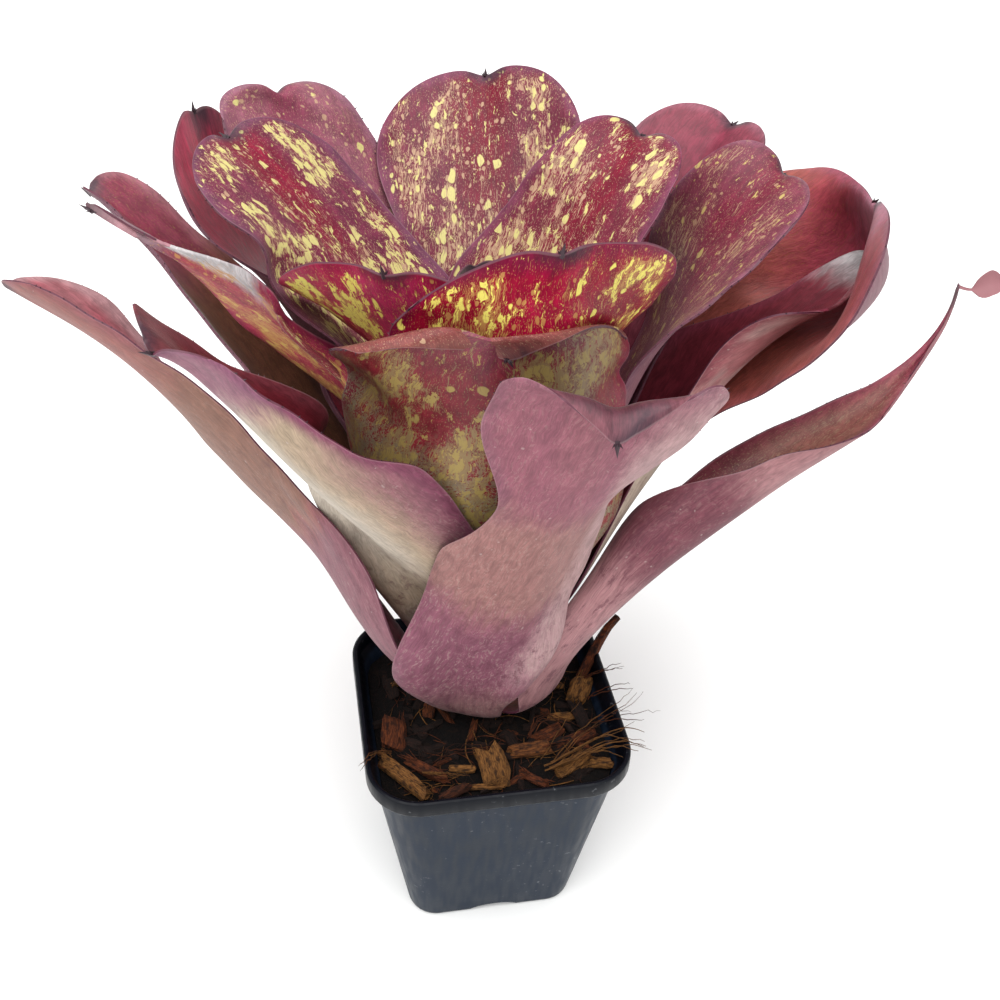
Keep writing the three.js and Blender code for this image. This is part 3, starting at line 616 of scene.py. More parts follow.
# ---- Leaf colours ----
PAINT = 0.6  # colours are written as they look on a leaf in full light, which is brighter than one


def paint(code):
    r, g, b, a = srgb(code)
    return (r * PAINT, g * PAINT, b * PAINT, a)


TIP_PURPLE = paint("4c3844")
# a painted highlight along each leaf's margin
EDGE_HIGHLIGHT = paint("c8a2a6")

# A zone is a window of distances from the tip in mm, a window from margin (-1) to margin (1), a colour and
# how much of it there is. A window rises over its first two numbers and falls over its last two. One that is
# open to a side rises before, or falls after, everything there is.
OPEN = (-9, -8)
TO_BASE = (200, 210)
TO_MARGIN = (8, 9)
ALL = (*OPEN, *TO_MARGIN)


def toned(base, tones, **changes):
    """A face like another with its own tones: the body's, the one along the midrib, and the margin's."""
    return base | dict(zip(("body", "rib", "margin"), tones.split())) | changes


# A face's yellow lies in fine streaks, dots and blotches, each from 0 to 1. Cream comes through towards its
# base, and scurf dusts it.
FACE = dict(
    body="87364a", rib="8c1e38", margin="96606f", yellow="d1c87f", tan="ecc29c",
    streaks=0.0, dots=0.0, blotches=0.0, cream=0.0, scurf=0.0, patchy=0.2, bloom=0.04, rough=0.4, zones=(),
)
STREAK_FROM = 0.375  # streaks show where the grain is below this
STREAK_NEED = 0.2
SPOTTED = toned(FACE, "8a4658 8c183a 946678", streaks=0.5, dots=0.6, blotches=0.35)
HEART = toned(
    FACE, "98142f b02440 701630", yellow="fff478", tan="ffc070",
    streaks=0.8, dots=0.9, blotches=0.9, bloom=0,
)
MAUVE = toned(FACE, "9c6472 a47480 845064", tan="c09a8a", scurf=0.3, patchy=0.12, rough=0.55)
UPPER = {
    "leaf_back": toned(SPOTTED, "863149 890f30 904865", streaks=0.6, dots=0.75, blotches=0.3),
    "leaf_back_left_inner": toned(SPOTTED, "8b3854 9b123a 8b4e6a", dots=0.7, blotches=0.62),
    "leaf_back_right_inner": toned(SPOTTED, "8c2e46 910f33 934765", streaks=0.75),
    "leaf_right": toned(
        SPOTTED, "934357 912e47 a05f75", yellow="bea765", tan="dcae8a", dots=0.3, blotches=0.12,
    ),
    "leaf_heart": toned(SPOTTED, "86606a 86707a a28e8c", yellow="a4a054", blotches=0.5),
    "leaf_heart_left": SPOTTED,
    "leaf_heart_right": SPOTTED,
    "leaf_front_inner": toned(SPOTTED, "984b49 9b4f4c 9f5a54", streaks=0.2, dots=0.1, blotches=0.0),
    "leaf_left_marked": toned(SPOTTED, "af4b58 c52851 d298a2", streaks=0.6),
    "leaf_back_left": toned(SPOTTED, "af687b a54c66 ab7388", streaks=0.25, dots=0.3, blotches=0.0),
    "leaf_back_left_outer": toned(FACE, "e74569 e73c5e e05473"),
    "leaf_back_right_outer": toned(FACE, "a34b5d 9e3f55 ae697a"),
    "leaf_right_outer": toned(
        FACE, "b94c59 b13c53 c4627b", tan="b86a4a", streaks=0.25, bloom=0.06,
        zones=(((*OPEN, 6, 26), ALL, "e79db6", 0.7), ((30, 50, 90, 120), ALL, "cd785b", 0.5),),
    ),
    "leaf_right_folded": toned(
        FACE, "913543 842c3d a1455a", bloom=0,
        zones=(((*OPEN, 14, 34), ALL, "e7e7e7", 0.9),),
    ),
    "leaf_right_long": toned(
        FACE, "ab7065 954c4d ab5365", tan="c4a084", streaks=0.4, bloom=0.06,
        zones=(((*OPEN, 5, 12), ALL, "825362", 0.8), ((60, 80, 150, 160), ALL, "7d3b46", 0.8),),
    ),
    "leaf_left_front": toned(FACE, "7c2533 711e2b 893e4a", zones=(((*OPEN, 10, 24), ALL, "8f4b52", 0.7),)),
    "leaf_left_outer": toned(
        FACE, "a0495d 9a3c52 bd7a85", tan="b89460", streaks=0.15,
        zones=(
            ((26, 46, 160, 170), ALL, "936844", 0.75),
            ((26, 46, 160, 170), (0.62, 0.85, *TO_MARGIN), "e7e7de", 0.8),
        ),
    ),
    "leaf_front_outer": toned(FACE, "794653 663743 995e69", bloom=0.14),
    "leaf_left_long": toned(FACE, "ba7279 d0405e d09ea2"),
}
UNDER = {
    "leaf_heart_right": toned(HEART, "bb113b cd1449 9a1447", blotches=0.55),
    "leaf_heart_left": toned(HEART, "e72a60 e73f78 cd265b", dots=0.7, blotches=1.0),
    "leaf_front_inner": toned(
        HEART, "97303b 92303d 922944", yellow="a28c51", tan="b4986a", streaks=0.9,
        dots=0.15, blotches=0.6, cream=1.0, patchy=0.25,
        zones=(((*OPEN, 12, 30), ALL, "9d4d65", 0.75),),
    ),
    "leaf_left_marked": toned(
        HEART, "bf415b ba4e5b a53155", yellow="c2a45b", tan="e4a868", streaks=0.95,
        dots=0.2, blotches=0.4,
        zones=(
            ((*OPEN, 12, 26), ALL, "a0848c", 0.9),
            ((0, 5, 36, 50), (0.2, 0.5, *TO_MARGIN), "e7e7e7", 0.85),
        ),
    ),
    "leaf_front_outer": toned(
        MAUVE, "ab6778 af6d7a a16576", scurf=0.4,
        zones=(
            ((45, 62, 84, 100), ALL, "b8877c", 0.7),
            ((84, 104, *TO_BASE), ALL, "975b70", 0.8),
            ((118, 136, *TO_BASE), ALL, "bc938a", 0.55),
            ((10, 30, 110, 125), (0.35, 0.75, *TO_MARGIN), "d5aeae", 0.8),
        ),
    ),
    "leaf_left_front": toned(
        MAUVE, "d0b59b ccb797 944d6a", scurf=0.3,
        zones=(
            ((*OPEN, 22, 40), ALL, "a76a85", 0.9),
            ((20, 40, 80, 110), (*OPEN, 0.1, 0.5), "e7dccc", 0.75),
            ((40, 70, *TO_BASE), (0.35, 0.8, *TO_MARGIN), "9b556e", 0.85),
            ((105, 125, *TO_BASE), ALL, "c9aeb8", 0.6),
        ),
    ),
    "leaf_left_long": toned(
        MAUVE, "b26e67 aa6a67 aa636a", scurf=0.15,
        zones=(((38, 62, 92, 104), ALL, "9e7563", 0.85), ((98, 106, *TO_BASE), ALL, "9c6372", 0.9),),
    ),
    "leaf_right_long": toned(
        MAUVE, "c28c90 c28c90 b88387", scurf=0.15,
        # the dark maroon band from 78 to 126 mm from the tip is a painted shadow, cast by the front leaf
        zones=(((78, 92, 112, 126), ALL, "7d3c4e", 0.85), ((*OPEN, 30, 50), ALL, "a2636d", 0.7),),
    ),
    "leaf_right_folded": toned(
        MAUVE, "bb7477 e1d5ca 9c4d58", scurf=0.3,
        zones=(((70, 90, *TO_BASE), ALL, "dac7b3", 0.9),),
    ),
}


def leaf_frame(shade, seed):
    """The blade's own coordinates: its place in mm, offset and wandering, and the edge values."""
    place = shade.attribute("leaf_place")
    moved = shade.scaled(place, (1, 1, 0), (seed * 37.7, seed * 91.3, seed * 5.1))
    drift = shade.noise(moved, scale=0.22, detail=2, out="Color")
    wander = shade.scaled(drift, (2.0, 4.0, 0), (-1.0, -2.0, 0))
    moved = shade.add("VectorMath", {0: moved, 1: wander}, operation="ADD")
    margin, tip, u = shade.split(shade.attribute("leaf_edge"))
    return moved, margin, tip, u


def window(shade, value, rise, risen, fall, fallen):
    return shade.times(shade.step(value, rise, risen), shade.step(value, fallen, fall))


def dots(shade, place, pitch, size, chance):
    """Dots at a spacing in mm across and along, up to so large a share of it, each there with a chance."""
    at = shade.scaled(place, (1 / pitch[0], 1 / pitch[1], 0))
    pick = shade.split(shade.cells(at, out="Color"))
    radius = shade.times(shade.math("POWER", pick[0], 1.3), size)
    inside = shade.step(shade.math("SUBTRACT", shade.cells(at), radius), 0.05, -0.05)
    return shade.times(inside, shade.math("LESS_THAN", pick[1], chance))


def blade_material(name, look, seed):
    shade = Shade(name)
    times, plus, step, blend = shade.times, shade.plus, shade.step, shade.blend
    place, margin, tip, u = leaf_frame(shade, seed)
    body, rib, edge, tan = (paint(look[key]) for key in ("body", "rib", "margin", "tan"))

    def texture(across, along, detail=2, rough=0.5):
        return shade.noise(shade.scaled(place, (across, along, 0)), detail=detail, rough=rough)

    streak = texture(1.0, 0.13, 3, 0.6)
    fine = texture(3.6, 0.3)
    cluster = texture(0.13, 0.055)
    mottle = texture(0.36, 0.2, 4, 0.66)
    grain = texture(2.4, 1.6, 3, 0.65)
    from_rib = shade.math("ABSOLUTE", u)
    # the body: its own red along the midrib towards the tip, another tone at the margins, mottled
    near_rib = times(step(from_rib, 0.4, 0.1), step(plus(tip, times(cluster, 30)), 72, 40))
    near_rib = times(near_rib, step(streak, 0.28, 0.55, 0.6, 1))
    tone = blend(body, rib, near_rib)
    tone = blend(tone, rib, times(step(cluster, 0.42, 0.66), 0.35))
    near_edge = step(plus(margin, times(cluster, 6)), 8.5, 3.0)
    tone = blend(tone, edge, near_edge)
    # zones, their limits ragged
    far = plus(tip, times(plus(streak, cluster), 14), -14)
    across = plus(u, times(plus(grain, mottle), 0.25), -0.25)
    for tips, sides, code, amount in look["zones"]:
        area = window(shade, far, *tips)
        if sides != ALL:
            area = times(area, window(shade, across, *sides))
        tone = blend(tone, paint(code), times(area, amount))
    if look["cream"]:
        low = step(plus(far, times(u, -10)), 42, 66)
        spotty = step(plus(grain, times(mottle, 0.8)), 0.96, 0.84)
        tone = blend(tone, paint("b0a486"), times(low, spotty, look["cream"]))
    lines = plus(times(fine, 0.6), times(streak, 0.4))
    patchy = look["patchy"]
    light = times(step(lines, 0.3, 0.7, 0.76, 1.22), step(mottle, 0.32, 0.7, 1 - patchy, 1 + patchy))
    tone = shade.add("HueSaturation", {"Color": tone, "Value": light})
    # yellow: where the clusters are, and less along the midrib and at the margins
    if look["streaks"] + look["dots"] + look["blotches"]:
        lush = times(step(cluster, 0.36, 0.56), step(margin, 1.0, 6.0))
        lush = times(lush, shade.math("SUBTRACT", 1.0, times(near_rib, 0.8)), step(tip, 2.5, 9))
        inner = step(margin, 0.5, 1.2)
        specks = texture(5.0, 1.5)
        specks = step(plus(specks, times(lush, 0.13 * look["streaks"])), 0.6, 0.68)
        tone = blend(tone, tan, times(specks, inner, 0.6))
        need = times(lush, -STREAK_NEED * look["streaks"])
        streaks = step(plus(lines, need), STREAK_FROM, STREAK_FROM - 0.04)
        strength = times(step(mottle, 0.38, 0.55, 0.35, 0.9), min(1, 2 * look["streaks"]))
        tone = blend(tone, tan, times(streaks, inner, strength))
        chance = plus(times(lush, 0.75 * look["dots"]), 0.14 * look["dots"])
        small = times(dots(shade, place, (1.3, 2.1), 0.42, chance), inner)
        tone = blend(tone, tan, times(small, 0.75))
        large = times(dots(shade, place, (2.4, 4.2), 0.47, times(chance, 0.8)), inner)
        patch = texture(0.62, 0.24, 5, 0.68)
        patch = plus(patch, times(lush, 0.2 * look["blotches"]), times(fine, 0.22))
        patch = times(step(patch, 0.735, 0.775), inner)
        bright = shade.math("MAXIMUM", large, patch) if look["blotches"] else large
        bright = times(bright, step(lines, 0.38, 0.46, 0.3, 0.95))
        ripe = blend(srgb(look["yellow"]), tan, step(grain, 0.52, 0.7, 0, 0.6))
        tone = blend(tone, ripe, bright)
    if look["scurf"]:
        stained = times(step(plus(mottle, times(grain, 0.4)), 0.64, 0.56), step(tip, 60, 125, 0.0, 0.55))
        tone = blend(tone, paint("7c4656"), stained)
        flecks = texture(1.5, 0.8, 4, 0.7)
        flecks = times(step(flecks, 0.5, 0.6), step(mottle, 0.42, 0.58, 0.15, 1))
        flecks = times(flecks, step(tip, 15, 120, 0.35, 1), step(cluster, 0.35, 0.6, 0.4, 1))
        tone = blend(tone, paint("dcc4b8"), times(flecks, look["scurf"]))
        motes = dots(shade, place, (2.3, 2.6), 0.13, 0.12)
        tone = blend(tone, paint("e6d2cc"), times(motes, 0.4))
    # the tip is dusky round the point, and a fine pale line along the margin is a painted highlight where
    # the rim catches the light
    tone = blend(tone, TIP_PURPLE, step(plus(tip, times(mottle, 7)), 12, 4.5, 0, 0.95))
    tone = blend(tone, EDGE_HIGHLIGHT, step(margin, 0.4, 0.12, 0, 0.3))
    normal = shade.bump(plus(lines, times(grain, 0.3), times(mottle, 0.8)), 0.22 * MM, 0.5)
    rough = look["rough"]
    return shade.finish(
        Base_Color=tone, Roughness=step(fine, 0.3, 0.7, rough - 0.08, rough + 0.09), Normal=normal,
        Specular_IOR_Level=0.22, Sheen_Weight=look["bloom"], Sheen_Roughness=0.4,
    )


def horn_material(name, light, dark, scale, rough):
    shade = Shade(name)
    tone = shade.blend(light, dark, shade.noise(shade.attribute("leaf_place"), scale=scale))
    return shade.finish(Base_Color=tone, Roughness=rough)


def make_leaves():
    rim = horn_material("leaf_margin", "6a3446", "4a2030", 0.4, 0.55)
    thorn = horn_material("leaf_thorn", "3c2430", "241418", 0.6, 0.5)
    for number, leaf in reversed(list(enumerate(LEAVES))):
        name = leaf["name"]
        upper = blade_material("upper_" + name, UPPER.get(name, FACE), number + 1)
        under = blade_material("under_" + name, UNDER.get(name, MAUVE), number + 1.5)
        obj = make_leaf(leaf, [upper, under, rim, thorn], np.random.default_rng(100 + number))
        slot = "leaf_mauve" if leaf["layer"] < OUTER_LAYERS else "leaf_red"
        belongs(obj, slot, name)


# ---- Pot ----
CORNER_STEPS = 12
POT_SHARP = 38
BAND_FOOT = POT_HEIGHT - RIM_BAND


def rounded_square(half, corner, z):
    points = []
    for quarter in range(4):
        for n in range(CORNER_STEPS + 1):
            a = (quarter + n / CORNER_STEPS) * math.pi / 2
            cx = (half - corner) * (1 if quarter in (0, 3) else -1)
            cy = (half - corner) * (1 if quarter < 2 else -1)
            points.append((cx + corner * math.cos(a), cy + corner * math.sin(a), z))
    return points


def wall_half(z):
    return mix(POT_BASE_HALF, POT_HALF - RIM_STEP, z / POT_HEIGHT)


def wall(z, inset):
    corner = mix(POT_BASE_CORNER, POT_CORNER, z / POT_HEIGHT)
    return rounded_square(wall_half(z) - inset, max(2, corner - inset), z)


def band(z, inset):
    return rounded_square(POT_HALF - inset, POT_CORNER - inset, z)


def ring_faces(first, rings, sides, clockwise=False):
    """The faces of a closed body through rings of points, closed over at both ends."""
    faces = []
    for r in range(rings - 1):
        for k in range(sides):
            a, b = first + r * sides + k, first + r * sides + (k + 1) % sides
            faces.append((a, a + sides, b + sides, b) if clockwise else (a, b, b + sides, a + sides))
    last = first + (rings - 1) * sides
    turn = -1 if clockwise else 1
    return [*faces, range(first, first + sides)[::-turn], range(last, last + sides)[::turn]]


def lofted(name, rings, material):
    points = [p for ring in rings for p in ring]
    return new_mesh(name, points, ring_faces(0, len(rings), len(rings[0])), [material])


def cut(obj, cutter):
    modifier = obj.modifiers.new("cut", "BOOLEAN")
    modifier.object, modifier.operation, modifier.solver = cutter, "DIFFERENCE", "EXACT"
    evaluated = obj.evaluated_get(bpy.context.evaluated_depsgraph_get())
    mesh = bpy.data.meshes.new_from_object(evaluated)
    obj.modifiers.clear()
    obj.data = mesh
    bpy.data.objects.remove(cutter)


def pot_material():
    shade = Shade("pot_plastic_look")
    at = shade.place()
    z = shade.split(at)[2]
    # faint vertical streaks down the walls, dust, and a darker band
    streak = shade.noise(shade.scaled(at, (520, 520, 5)), detail=1)
    dust = shade.noise(at, scale=420, detail=4, rough=0.7)
    cloud = shade.noise(at, scale=38, detail=2)
    tone = shade.blend("121c29", "192433", shade.step(streak, 0.38, 0.66))
    tone = shade.blend(tone, "1e2736", shade.times(shade.step(cloud, 0.4, 0.7), 0.4))
    tone = shade.blend(tone, "202a38", shade.step(z, 40 * MM, 4 * MM, 0, 0.4))
    rim = shade.step(z, (BAND_FOOT - 0.5) * MM, (BAND_FOOT + 0.5) * MM)
    tone = shade.blend(tone, "04060e", shade.times(rim, 0.95))
    speck = shade.step(shade.noise(at, scale=700, detail=2), 0.66, 0.72)
    speck = shade.times(speck, shade.step(cloud, 0.5, 0.62))
    speck = shade.plus(shade.times(speck, 0.18), shade.times(shade.step(dust, 0.66, 0.78), 0.22))
    tone = shade.blend(tone, "a8acb0", speck)
    rough = shade.step(streak, 0.3, 0.7, 0.34, 0.5)
    normal = shade.bump(shade.plus(streak, shade.times(dust, 0.4)), 0.15 * MM, 0.5)
    return shade.finish(Base_Color=tone, Roughness=rough, Normal=normal, Specular_IOR_Level=0.15)


def cylinder(sides, radius, depth, *moves):
    """A cylinder on the Z axis in metres, moved by each matrix in turn."""
    bpy.ops.mesh.primitive_cylinder_add(vertices=sides, radius=radius, depth=depth)
    made = bpy.context.object
    for move in moves:
        made.data.transform(move)
    return made


def make_pot():
    # up the outside, over the rim and down the inside: each ring's height and how far it is set in
    foot = ((0, 1.2), (0.25, 0.5), (0.8, 0.1), (1.6, 0))
    step = ((0.35, 0.75), (0.7, 0.25), (1.2, 0))
    lip = ((-0.8, 0), (-0.3, 0.15), (0, 0.6), (-0.05, 1.2), (-0.6, 1.7))
    rings = [wall(z, inset) for z, inset in foot]
    rings += [wall(z, 0) for z in np.linspace(8, BAND_FOOT, 9)]
    rings += [band(BAND_FOOT + z, inset) for z, inset in step]
    rings += [band(POT_HEIGHT + z, inset) for z, inset in lip]
    rings += [band(BAND_FOOT + 1.5, 2.0)]
    rings += [wall(z, POT_WALL) for z in np.linspace(BAND_FOOT - 0.5, POT_FLOOR + 1.5, 6)]
    rings += [wall(POT_FLOOR + 0.4, POT_WALL + 0.5), wall(POT_FLOOR, POT_WALL + 1.5)]
    pot = lofted("look_pot", rings, pot_material())
    for side in range(4):
        a = side * math.pi / 2
        size = (FOOT_ARCH_WIDTH / 2 * MM, FOOT_ARCH_DEPTH * MM, FOOT_ARCH_HEIGHT * MM)
        reach = (POT_BASE_HALF + 1 - FOOT_ARCH_DEPTH / 2) * MM
        lay, grow = Matrix.Rotation(math.pi / 2, 4, "X"), Matrix.Diagonal((*size, 1))
        out, turn = Matrix.Translation((0, reach, 0)), Matrix.Rotation(a, 4, "Z")
        cut(pot, cylinder(48, 1, 1, lay, grow, out, turn))
        out = Matrix.Translation((DRAIN_REACH * MM, 0, 0))
        turn = Matrix.Rotation(a + math.pi / 4, 4, "Z")
        cut(pot, cylinder(32, DRAIN_RADIUS * MM, 3 * POT_FLOOR * MM, out, turn))
    pot.data.polygons.foreach_set("use_smooth", [True] * len(pot.data.polygons))
    pot.data.set_sharp_from_angle(angle=math.radians(POT_SHARP))
    belongs(pot, "pot_plastic", "pot")


# ---- Potting mix ----


def soil_material():
    shade = Shade("soil")
    at = shade.place()
    grain = shade.noise(at, scale=900, detail=4, rough=0.7)
    clump = shade.noise(at, scale=210, detail=3)
    tone = shade.blend("050303", "110906", shade.step(grain, 0.4, 0.7))
    tone = shade.blend(tone, "22130b", shade.times(shade.step(clump, 0.58, 0.72), 0.4))
    normal = shade.bump(shade.plus(grain, clump), 0.8 * MM, 0.9)
    return shade.finish(Base_Color=tone, Roughness=0.9, Normal=normal, Specular_IOR_Level=0.2)


def bark_material():
    """Bark and wood fibre, its grain along the chip and its tone from the chip's own number."""
    shade = Shade("bark")
    grain_at = shade.attribute("grain")
    tone_number = shade.split(grain_at)[2]
    grain = shade.noise(shade.scaled(grain_at, (0.5, 4.0, 7)), detail=4, rough=0.65)
    mottle = shade.noise(shade.scaled(grain_at, (0.5, 0.8, 7)), detail=3)
    red = shade.blend("2b1008", "673417", shade.step(grain, 0.35, 0.68))
    tan = shade.blend("381f0c", "84592c", shade.step(grain, 0.3, 0.68))
    dark = shade.blend("0a0503", "27140e", shade.step(grain, 0.35, 0.7))
    tone = shade.blend(dark, red, shade.step(tone_number, 0.30, 0.40))
    tone = shade.blend(tone, tan, shade.step(tone_number, 0.62, 0.72))
    tone = shade.blend(tone, "120805", shade.times(shade.step(mottle, 0.48, 0.66), 0.75))
    normal = shade.bump(grain, 0.5 * MM, 0.8)
    return shade.finish(Base_Color=tone, Roughness=0.85, Normal=normal, Specular_IOR_Level=0.25)


def soil_height(x, y):
    """The rough top of the mix, mm."""
    near = noise.noise(Vector((x * 0.09, y * 0.09, 3.1)))
    fine = noise.noise(Vector((x * 0.35, y * 0.35, 7.7)))
    return MIX_LEVEL - 0.6 + 1.3 * near + 0.7 * fine


def make_soil():
    edge = wall_half(MIX_LEVEL) - POT_WALL - FIT_GAP
    corner = mix(POT_BASE_CORNER, POT_CORNER, MIX_LEVEL / POT_HEIGHT) - POT_WALL
    share = np.linspace(0.03, 1, 44)
    top = [rounded_square(edge * k, corner * k, 0) for k in share]
    top = [[(x, y, soil_height(x, y)) for x, y, _ in ring] for ring in top]
    below = [wall(MIX_LEVEL - 2.5, POT_WALL + FIT_GAP), wall(POT_FLOOR + FIT_GAP, POT_WALL + FIT_GAP)]
    soil = lofted("look_potting_mix", [below[1], below[0], *reversed(top)], soil_material())
    belongs(soil, "bark_mix", "potting_mix")


class Bark:
    """Chips and fibres gathered in one mesh, with the grain's own coordinates."""

    def __init__(self):
        self.points, self.faces, self.grain = [], [], []

    def chip(self, place, size, turn, tilt, roll, tone, rng):
        """A splintered chip: a rough flat prism whose ends break off unevenly."""
        long, wide, thick = size
        sides, stations = 8, 7
        outline = []
        for k in range(sides):
            a = 2 * math.pi * k / sides
            squared = (abs(math.cos(a)) ** 4 + abs(math.sin(a)) ** 4) ** -0.25
            wide_by, thick_by = rng.uniform(0.8, 1.1), rng.uniform(0.75, 1.1)
            outline.append((math.cos(a) * squared * wide_by, math.sin(a) * squared * thick_by))
        ends = [(rng.uniform(-0.2, 0.14), rng.uniform(-0.14, 0.2)) for _ in range(sides)]
        bend = rng.uniform(-0.08, 0.08) * long
        first = len(self.points)
        spin = Matrix.Identity(3)
        for angle, axis in ((turn, "Z"), (-tilt, "Y"), (roll, "X")):
            spin = spin @ Matrix.Rotation(math.radians(angle), 3, axis)
        offset = rng.uniform(0, 90)
        for j in range(stations):
            t = j / (stations - 1)
            taper = 1 - 0.16 * abs(2 * t - 1) ** 3
            for k, (cy, cz) in enumerate(outline):
                low, high = ends[k]
                x = mix(-0.5 + low, 0.5 + high, t) * long
                y = cy * wide / 2 * taper * rng.uniform(0.93, 1.07)
                z = cz * thick / 2 * taper * rng.uniform(0.85, 1.15) + bend * (1 - (2 * t - 1) ** 2)
                self.points.append(np.array(place) + np.array(spin @ Vector((x, y, z))))
                self.grain.append((x + offset, y + cz, tone))
        self.faces += ring_faces(first, stations, sides)

    def fibre(self, line, radius, tone, sides=4, taper=0.75):
        """A strand along a line of points, thinner towards its end."""
        line = np.array(line, float)
        first = len(self.points)
        run = np.gradient(line, axis=0)
        for j, (p, d) in enumerate(zip(line, run)):
            d = unit(d)
            a = unit(np.cross(d, [0.3, 0.2, 1.0]))
            b = np.cross(d, a)
            size = radius * (1 - taper * (j / (len(line) - 1)) ** 2)
            for k in range(sides):
                angle = 2 * math.pi * k / sides
                self.points.append(p + size * (a * math.cos(angle) + b * math.sin(angle)))
                self.grain.append((j * 1.5, k * 0.3, tone))
        self.faces += ring_faces(first, len(line), sides, clockwise=True)

    def make(self, name, material, smooth_faces=False):
        obj = new_mesh(name, self.points, self.faces, [material], smooth_faces=smooth_faces)
        keep_vectors(obj, "grain", self.grain)
        belongs(obj, "bark_mix")


def in_pot(x, y, clear):
    """Whether a point on the mix is inside the pot's wall, clear of it by so much."""
    half = wall_half(MIX_LEVEL) - POT_WALL - clear
    corner = POT_CORNER - 2
    dx, dy = max(0, abs(x) - (half - corner)), max(0, abs(y) - (half - corner))
    return math.hypot(dx, dy) < corner


def spot(rng, clear):
    """A random place on the mix."""
    while True:
        x, y = rng.uniform(-SPOT_REACH, SPOT_REACH), rng.uniform(-SPOT_REACH, SPOT_REACH)
        if in_pot(x, y, clear):
            return x, y


SPOT_REACH = 31
SMALL_CHIPS = 110
LOOSE_FIBRES = 260
LOOSE_POINTS = 9
STRAND_POINTS = 14
FRAYED = 12  # splinters at each chip that stands out
# The chips that stand out: x, y, height over the mix, length, width, thickness, turn, tilt, roll, tone.
CHIPS = [
    (-26, -3.5, 1.8, 8.5, 7.5, 2.4, 80, 10, 8, 0.5),
    (-25.8, -19.5, 2.4, 16, 4.0, 2.8, -57, 8, 12, 0.72),
    (-19, -18.0, 2.0, 13, 3.2, 2.4, -48, 12, 20, 0.6),
    (-2, -20.2, 3.0, 10, 8.5, 2.4, 98, 22, 8, 0.85),
    (9.3, -15.5, 2.4, 9.5, 4.0, 2.6, -2, 6, 25, 0.66),
    (-6, -25.5, 1.8, 10, 1.7, 1.1, -10, 5, 0, 0.95),
    (28, 4.6, 2.6, 7.5, 6, 3.4, 60, 16, 10, 0.85),
    (15, -10, 1.4, 8, 4.5, 2.4, 20, 10, 15, 0.42),
    (23, -12, 1.3, 10, 4, 2.2, 12, 6, 10, 0.38),
    (9, -25, 1.8, 8, 2.6, 1.8, -50, 10, 10, 0.55),
    (26, -5, 1.6, 9, 4, 2.2, 100, 10, 10, 0.3),
    (-13, -26.5, 1.6, 8, 3, 2, 20, 8, 10, 0.35),
    (20, -21.5, 2.0, 9, 4.2, 3, 25, 14, 12, 0.85),
    (27, -22, 1.6, 6, 3.4, 2.4, -20, 8, 10, 0.75),
]
# Strands that stand out: how many lie together, how far they spread, their radius, tone, and the line.
STRANDS = [
    (8, 3.0, 0.22, 0.9,
     ((13, -23, 57.5), (19, -22.5, 60), (26, -21, 62), (32, -22, 64.2), (36.5, -24, 63.6))),
    (5, 4.2, 0.16, 0.75,
     ((14, -22, 57.5), (20, -17, 59.5), (26, -14, 61), (32, -13, 63.6), (36, -10, 64.5))),
    (1, 0.0, 1.4, 0.66,
     ((29, 9, 57), (32.5, 12, 61.5), (35.5, 15, 65), (38.5, 18, 67), (42, 20.5, 68.5))),
    (3, 1.2, 0.14, 0.55, ((29, 7, 58), (32.5, 5, 62), (36, 3, 65), (39.5, 1.5, 67))),
    (2, 1.6, 0.14, 0.6, ((29, 0, 58), (33, -1.5, 62.5), (37, -2.5, 64.5), (41, -3.5, 65.5))),
    (3, 2.0, 0.13, 0.5, ((28, -9, 58), (32.5, -12, 62.5), (36.5, -14, 65), (40, -15.5, 66))),
    (3, 1.0, 0.15, 0.75, ((-28, -12, 58), (-32, -15, 62), (-35, -18, 64.2), (-37.5, -21, 64))),
    (4, 1.2, 0.16, 0.8, ((-20, -21, 58.5), (-15, -23, 59), (-10, -24, 58))),
    (5, 1.5, 0.14, 0.35, ((2, -14, 58), (-6, -16, 60), (-12, -14, 58.5), (-17, -15, 57))),
    (5, 1.5, 0.14, 0.6, ((10, -12, 58), (13, -8, 60), (17, -7, 59), (22, -9, 57.5))),
]


def lay_chips(chips, rng):
    for x, y, z, long, wide, thick, turn, tilt, roll, tone in CHIPS:
        chips.chip((x, y, soil_height(x, y) + z), (long, wide, thick), turn, tilt, roll, tone, rng)
    for _ in range(SMALL_CHIPS):
        x, y = spot(rng, 3.5)
        size = (rng.uniform(3, 9), rng.uniform(1.4, 3.8), rng.uniform(0.9, 2.0))
        at = (x, y, soil_height(x, y) + rng.uniform(-0.6, 1.0))
        tone = rng.choice([0.05, 0.1, 0.15, 0.2, 0.25, 0.45, 0.75])
        chips.chip(at, size, rng.uniform(0, 360), rng.gauss(0, 14), rng.gauss(0, 20), tone, rng)


def fray(strands, rng):
    """Splinters at the ends of the chips that stand out."""
    for x, y, up, long, wide, _, turn, _, _, tone in CHIPS:
        ahead = direction(turn, 0) + [0, 0, 0.15]
        side = np.array([-ahead[1], ahead[0], 0])
        for number in range(FRAYED):
            end = 1 if number % 2 else -1
            root = np.array([x, y, MIX_LEVEL + up]) + side * wide * rng.uniform(-0.42, 0.42)
            reach = long * rng.uniform(0.42, 0.72)
            bend = side * rng.gauss(0, 0.12) * reach + [0, 0, rng.uniform(-0.1, 0.3) * reach]
            line = [root + end * ahead * reach * t + bend * t * t for t in np.linspace(0.5, 1, 5)]
            strands.fibre(line, rng.uniform(0.1, 0.24), min(0.95, tone * rng.uniform(0.8, 1.15)))


